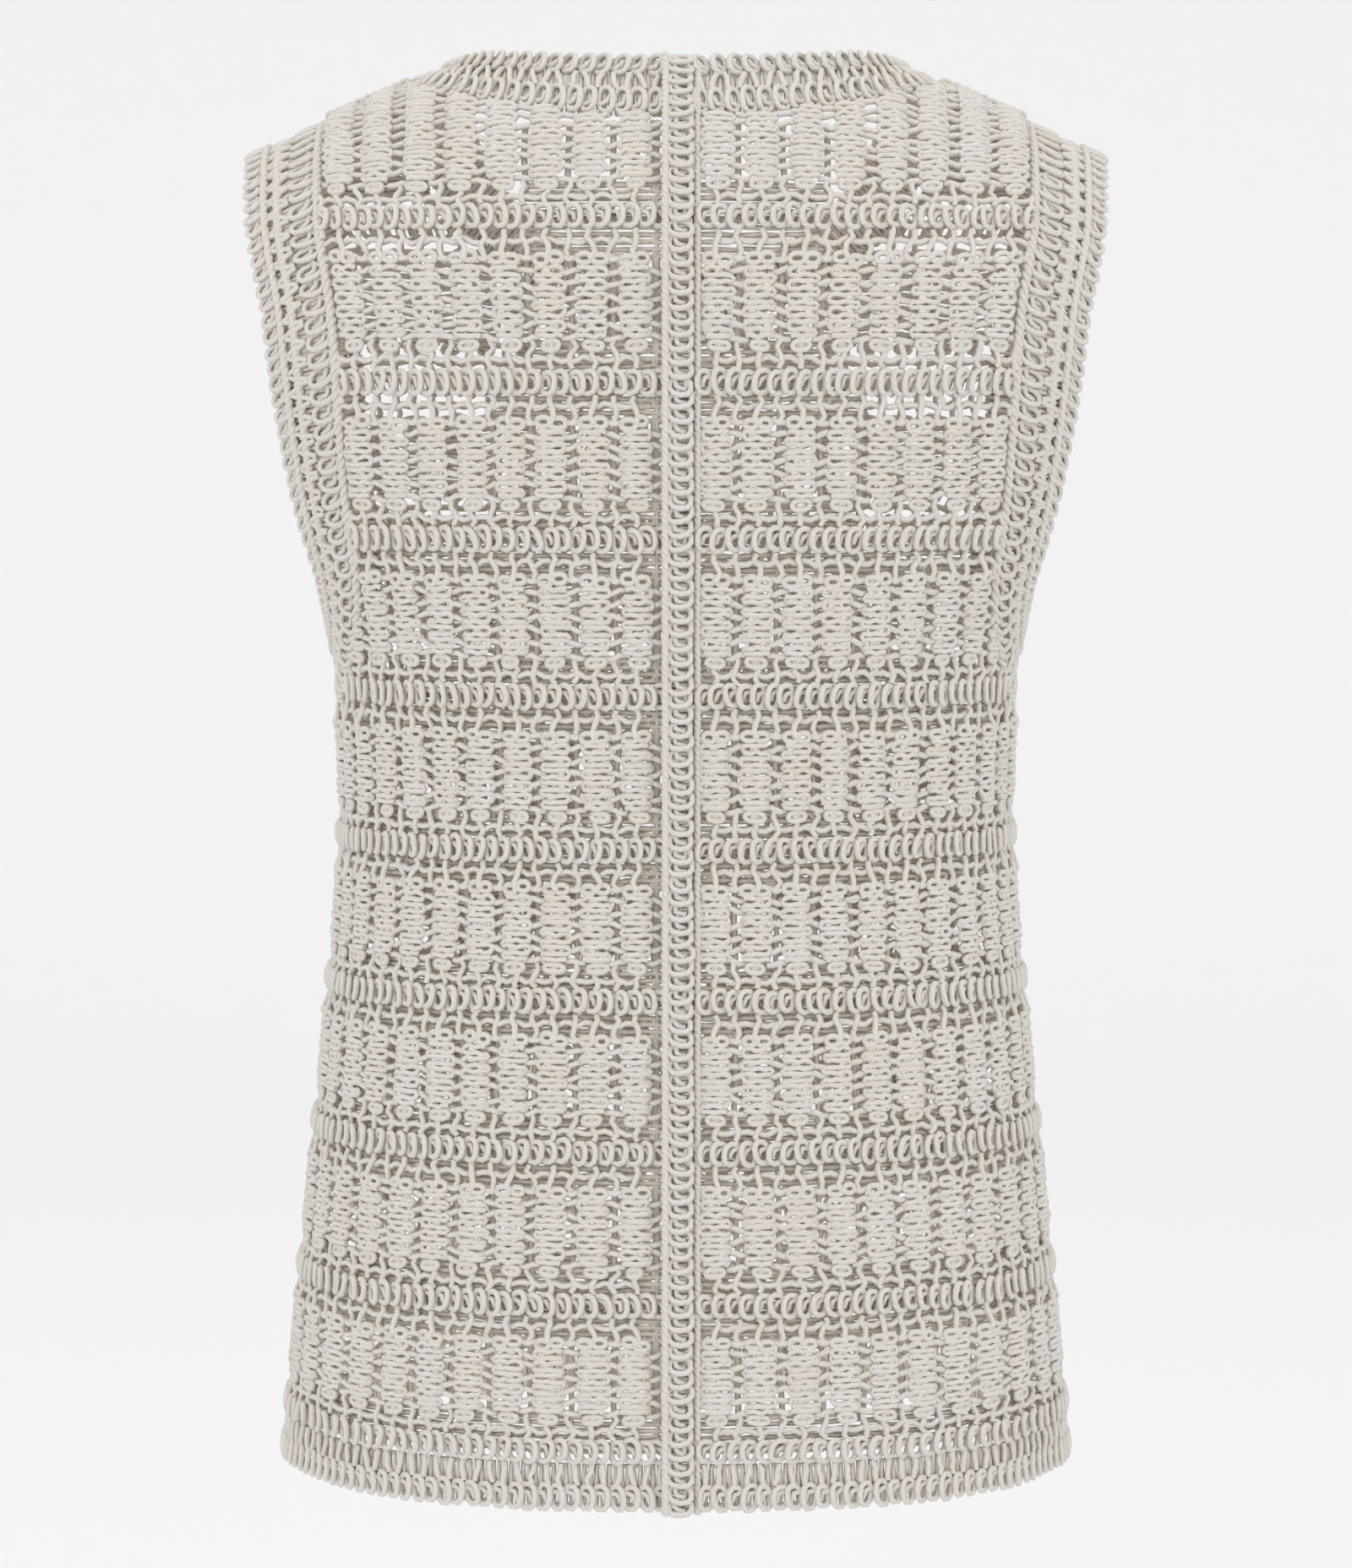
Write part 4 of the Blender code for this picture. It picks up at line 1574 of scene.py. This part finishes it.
@dataclass
class Bands:
    """The edgings of neck, armholes and hem, and the lapped band of the centre back."""

    form: Form
    sweep: CordSweep
    finish: bpy.types.Material
    inner_shade_toned_finish: bpy.types.Material
    sides: int = 5
    band_left: float = -0.0053
    band_right: float = 0.0082
    band_lift: float = 0.0022
    arm_lift: float = -0.0026
    hem_start: float = 0.0030
    neck_fullness: float = 0.0034

    def finish_piece(self, edging: Edging, node: str) -> list:
        """Sweeps and dresses one band, hides its node of the frame, and attaches and logs its
        pieces.

        Args:
            edging: its stitches.
            node: the frame's node that it stands for.

        Returns:
            The outer stitches and the cords inside the wall.
        """
        made = [
            self.sweep.sweep(f"{node}_rings", edging.work, self.sides, self.finish),
            self.sweep.sweep(
                f"{node}_inner_cords", edging.inner, self.sides - 1, self.inner_shade_toned_finish
            ),
        ]
        for piece in made:
            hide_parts(node)
            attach(piece, BODY)
            report(piece)
        return made

    def hem(self, name: str, face: Face, start: float, end: float, seed: int) -> list:
        """One stretch of the hem.

        Args:
            name: the piece's name, which is also its node's.
            face: the side of the top.
            start: signed column of the chart at which it starts.
            end: signed column at which it ends.
            seed: seed of its small shifts.

        Returns:
            Its pieces.
        """
        form = self.form
        columns = np.linspace(start, end, 121)
        rises = np.linspace(form.hem_top, form.hem_bottom, 5)
        rows = []
        for column in columns:
            size = abs(column)
            length = form.length_at(np.full(5, size), rises, face) * np.sign(column or 1.0)
            if size < 1:
                edge = form.length_at(np.full(5, 1.0), rises, face)
                inset = 0.0 if face is Face.FRONT else self.hem_start
                length = (inset + (edge - inset) * size) * np.sign(column or 1.0)
            rows.append(form.place(length, rises, np.zeros(5), face))
        rng = np.random.default_rng(seed)
        edging = Edging(Ribbon(np.array(rows)), form.hem_top - form.hem_bottom, rng)
        edging.backing(0.0003, 0.0170)
        edging.uprights(low=-0.0005, high=0.0085, pitch=0.0062, zigzag=0.0012)
        edging.rings(over=0.0138, tall=0.0050, wide=0.0031, pitch=0.0064, swing=0.0012)
        return self.finish_piece(edging, name)

    def neck_ribbon(self, face: Face, shares: np.ndarray) -> Ribbon:
        """The strip between the neck seam and the neck's opening edge.

        Args:
            face: the side of the top.
            shares: signed shares of the way from the centre to the shoulder.

        Returns:
            The ribbon, from seam to edge.
        """
        form = self.form
        rows = []
        for share in shares:
            seam, edge = self.neck_lines(face, abs(share))
            row = []
            for k in np.linspace(0, 1, 5):
                x = seam[0] + (edge[0] - seam[0]) * k
                row.append(surface_point(form, x, seam[1] + (edge[1] - seam[1]) * k, face))
            row = np.array(row)
            row[:, 0] *= -1.0 if share < 0 else 1.0
            rows.append(row)
        return Ribbon(np.array(rows))

    def neck_lines(self, face: Face, size: float) -> tuple:
        """Places on the neck seam and on the neck's opening edge.

        Args:
            face: the side of the top.
            size: share of the way from the centre to the shoulder.

        Returns:
            The x and height on the seam, and the x and height on the edge.
        """
        form = self.form
        outer = form.neck_half + form.neck_width
        end = float(form.shoulder(np.array(outer)))
        if face is Face.BACK:
            low = form.neck_back - form.neck_width
            seam = (outer * size, low + (end - low) * size ** BACK_NECK_POWER)
            across = outer * size - form.neck_width * size ** 4
            full = form.neck_back + self.neck_fullness * (1 - size * size)
            rise = (form.neck_rise - form.neck_back) * (across / form.neck_half) ** 2.2
            return seam, (across, full + rise)
        fall = math.cos(size * math.pi / 2)
        wide = math.sin(size * math.pi / 2) ** FRONT_NECK_POWER
        seam = (outer * wide, end + (form.neck_front - form.neck_width - end) * fall)
        drop = (form.neck_front - form.neck_rise) * fall
        return seam, (form.neck_half * wide, form.neck_rise + drop)

    def neck(self, name: str, face: Face, start: float, end: float, seed: int) -> list:
        """One stretch of the neck band.

        Args:
            name: the piece's name, which is also its node's.
            face: the side of the top.
            start: signed share of the way from the centre to the shoulder at which it starts.
            end: signed share at which it ends.
            seed: seed of its small shifts.

        Returns:
            Its pieces.
        """
        ribbon = self.neck_ribbon(face, np.linspace(start, end, 81))
        edging = Edging(ribbon, self.form.neck_width, np.random.default_rng(seed))
        edging.rings(over=0.0202, tall=0.0034, wide=0.0034, pitch=0.0076, swing=0.0020)
        edging.backing(0.0010, 0.0235)
        edging.uprights(low=0.0100, high=0.0165, pitch=0.0062, zigzag=0.0022)
        edging.rings(over=0.0052, tall=0.0048, wide=0.0034, pitch=0.0072, swing=0.0013)
        return self.finish_piece(edging, name)

    def arm_rows(self, face: Face, side: int) -> list:
        """Rows of points across the armhole band on one face, from the side seam upwards.

        Args:
            face: the side of the top.
            side: -1 for the left armhole, +1 for the right.

        Returns:
            The rows, each from the panel's seam to the opening.
        """
        form = self.form
        reaches = np.linspace(0.0, form.arm_band, 7)
        column = float(form.arm_column)
        squeeze = form.arm_band_under / form.arm_band
        low = form.arm_bottom - form.arm_straight + reaches * squeeze
        start = form.length_at(np.full(7, column), np.full(7, form.arm_straight), face) + reaches
        rows = []
        for turn in np.linspace(1.0, 0.0, 40):
            angle = turn * math.pi / 2
            z = form.arm_straight + low * math.sin(angle)
            length = start + (form.side_length(z, face) - start) * (1 - math.cos(angle))
            rows.append(form.place(length * side, z, np.zeros(7), face))
        for share in np.linspace(0, 1, 60)[1:]:
            row = []
            for reach in reaches:
                rise = form.arm_straight
                for _ in range(3):
                    height = np.array(min(rise, -0.03))
                    length = float(form.length_at(np.array(column), height, face)) + reach
                    top = form.ridge_rise(length, face)
                    rise = form.arm_straight + (top - form.arm_straight) * share
                at = np.array([length * side]), np.array([rise]), np.zeros(1)
                row.append(form.place(*at, face)[0])
            rows.append(np.array(row))
        return rows

    def armhole(self, name: str, side: int, seed: int) -> list:
        """The band round one armhole.

        Args:
            name: the piece's name, which is also its node's.
            side: -1 for the left armhole, +1 for the right.
            seed: seed of its small shifts.

        Returns:
            Its pieces.
        """
        back = self.arm_rows(Face.BACK, side)
        front = self.arm_rows(Face.FRONT, side)
        ribbon = Ribbon(np.array(back + front[::-1][1:-1]), closed=True)
        rng = np.random.default_rng(seed)
        edging = Edging(ribbon, self.form.arm_band, rng, self.arm_lift)
        edging.rings(over=0.0347, tall=0.0046, wide=0.0032, pitch=0.0074, swing=0.0011)
        edging.backing(0.0010, 0.0385)
        edging.chain(over=0.0288, pitch=0.0074)
        edging.uprights(low=0.0165, high=0.0284, pitch=0.0042, zigzag=0.0036)
        edging.chain(over=0.0225, pitch=0.0052, spread=0.0012, lift=0.0002)
        edging.rings(over=0.0092, tall=0.0061, wide=0.0034, pitch=0.0076, swing=0.0012)
        edging.chain(over=0.0016, pitch=0.0074, spread=0.0013, lift=0.0012)
        return self.finish_piece(edging, name)

    def centre_back(self) -> list:
        """The ringed band laid over the meeting edges of the back.

        Returns:
            Its pieces.
        """
        form = self.form
        top = form.rise_at(0.0, form.neck_back, Face.BACK)
        rows = []
        lengths = np.linspace(self.band_left, self.band_right, 5)
        for rise in np.linspace(form.hem_bottom, top, 240):
            rows.append(form.place(lengths, np.full(5, rise), np.zeros(5), Face.BACK))
        width = self.band_right - self.band_left
        edging = Edging(Ribbon(np.array(rows)), width, np.random.default_rng(41), self.band_lift)
        edging.rings(over=width / 2 + 0.0003, tall=0.0050, wide=0.0034, pitch=0.0061, swing=0.0013)
        edging.backing(0.0020, width - 0.0020)
        edging.chain(over=0.0008, pitch=0.0062, spread=0.0006)
        edging.chain(over=width + 0.0010, pitch=0.0062, spread=0.0006, lift=-0.0028)
        return self.finish_piece(edging, "centre_back_band")

    def build(self) -> dict:
        """Makes every band.

        Returns:
            The pieces that go with each half of the panels.
        """
        last = float(self.form.columns)
        back_left = self.neck("neck_band_back_left", Face.BACK, -0.045, -1.0, 21)
        back_left += self.armhole("armhole_band_left", -1, 24)
        back_left += self.hem("hem_band_back_left", Face.BACK, -0.01, -last, 26)
        back_right = self.neck("neck_band_back_right", Face.BACK, 0.06, 1.0, 22)
        back_right += self.armhole("armhole_band_right", 1, 25)
        back_right += self.hem("hem_band_back_right", Face.BACK, 0.01, last, 27)
        return {
            "back_left": back_left,
            "back_right": back_right + self.centre_back(),
            "front_left": self.neck("neck_band_front", Face.FRONT, -1.0, 1.0, 23),
            "front_right": self.hem("hem_band_front", Face.FRONT, -last, last, 28),
        }


def report(piece: bpy.types.Object) -> None:
    """Logs one finished piece.

    Args:
        piece: the piece.
    """
    mesh = piece.data
    triangles = sum(len(p.vertices) - 2 for p in mesh.polygons)
    area = sum(p.area for p in mesh.polygons)
    log.info("%s: %d triangles, %.4f square metres of cord", piece.name, triangles, area)


# ---------------------------------------------------------------- studio
@dataclass
class Studio:
    """A pale floor that curves up behind, soft light, and the camera."""

    distance: float = 2.15
    eye_height: float = -0.151
    pitch_degrees: float = 4.61
    focal_length: float = 108.95
    aim: tuple = (0.0, 0.0, -0.32)
    floor_height: float = -0.95
    floor_front: float = -6.0
    floor_back: float = 3.0
    floor_half_width: float = 9.0
    curve_radius: float = 1.5
    wall_top: float = 8.0
    floor_grey: float = 0.915
    air_strength: float = 0.95

    def backdrop(self) -> None:
        """The floor and the wall behind it, one smooth sheet."""
        mesh = bpy.data.meshes.new("studio_floor")
        profile = [(self.floor_front, 0.0)]
        radius = self.curve_radius
        for angle in np.linspace(0, math.pi / 2, 17):
            y = self.floor_back + radius * math.sin(angle)
            profile.append((y, radius * (1 - math.cos(angle))))
        profile.append((self.floor_back + radius, self.wall_top))
        sides = (-self.floor_half_width, self.floor_half_width)
        points = [(x, y, self.floor_height + z) for x in sides for y, z in profile]
        n = len(profile)
        faces = [(k, k + 1, n + k + 1, n + k) for k in range(n - 1)]
        mesh.from_pydata(points, [], faces)
        mesh.shade_smooth()
        finish = bpy.data.materials.new("studio_floor")
        finish.use_nodes = True
        shader = finish.node_tree.nodes["Principled BSDF"]
        shader.inputs["Base Color"].default_value = (*[self.floor_grey] * 3, 1.0)
        shader.inputs["Roughness"].default_value = 0.9
        mesh.materials.append(finish)
        floor = bpy.data.objects.new("studio_floor", mesh)
        bpy.context.scene.collection.objects.link(floor)

    def light(self, name: str, place: tuple, size: float, power: float) -> None:
        """One soft square light, turned towards the top.

        Args:
            name: its name.
            place: where it stands.
            size: length of its side.
            power: its power in watts.
        """
        data = bpy.data.lights.new(name, "AREA")
        data.size = size
        data.energy = power
        lamp = bpy.data.objects.new(name, data)
        bpy.context.scene.collection.objects.link(lamp)
        way = Vector(self.aim) - Vector(place)
        turn = way.to_track_quat("-Z", "Y").to_matrix().to_4x4()
        lamp.matrix_world = Matrix.Translation(place) @ turn

    def build(self) -> None:
        """Makes the floor, the lights and the camera."""
        self.backdrop()
        self.light("key_light", (-1.4, -2.2, 1.3), size=1.6, power=11.0)
        self.light("fill_light", (1.8, -1.8, 0.6), size=1.8, power=6.0)
        self.light("top_light", (0.0, 0.2, 2.2), size=2.2, power=5.0)
        world = bpy.data.worlds.new("studio_air")
        bpy.context.scene.world = world
        world.use_nodes = True
        air = world.node_tree.nodes["Background"]
        air.inputs["Color"].default_value = (1.0, 1.0, 1.0, 1.0)
        air.inputs["Strength"].default_value = self.air_strength
        data = bpy.data.cameras.new("camera")
        data.lens = self.focal_length
        camera = bpy.data.objects.new("camera", data)
        bpy.context.scene.collection.objects.link(camera)
        camera.location = (0.0, -self.distance, self.eye_height)
        camera.rotation_euler = (math.radians(90 - self.pitch_degrees), 0.0, 0.0)
        bpy.context.scene.camera = camera
        bpy.context.scene.view_settings.view_transform = "Standard"


def main() -> None:
    """Builds the top and its studio."""
    logging.basicConfig(level=logging.INFO, format="%(message)s")
    Studio().build()
    form = Form()
    sweep = CordSweep()
    # finishes of the inner cords and of the shade cords: painted shade tones
    inside, shade = INNER_SHADE_TONED_CORD.make(), SHADED_CORD.make()
    panels = Panels(form, sweep, CordFinish("panel_cord").make(), inside, shade)
    bands = Bands(form, sweep, CordFinish("band_cord").make(), inside)
    panels.build()
    bands.build()


if __name__ == "__main__":
    main()
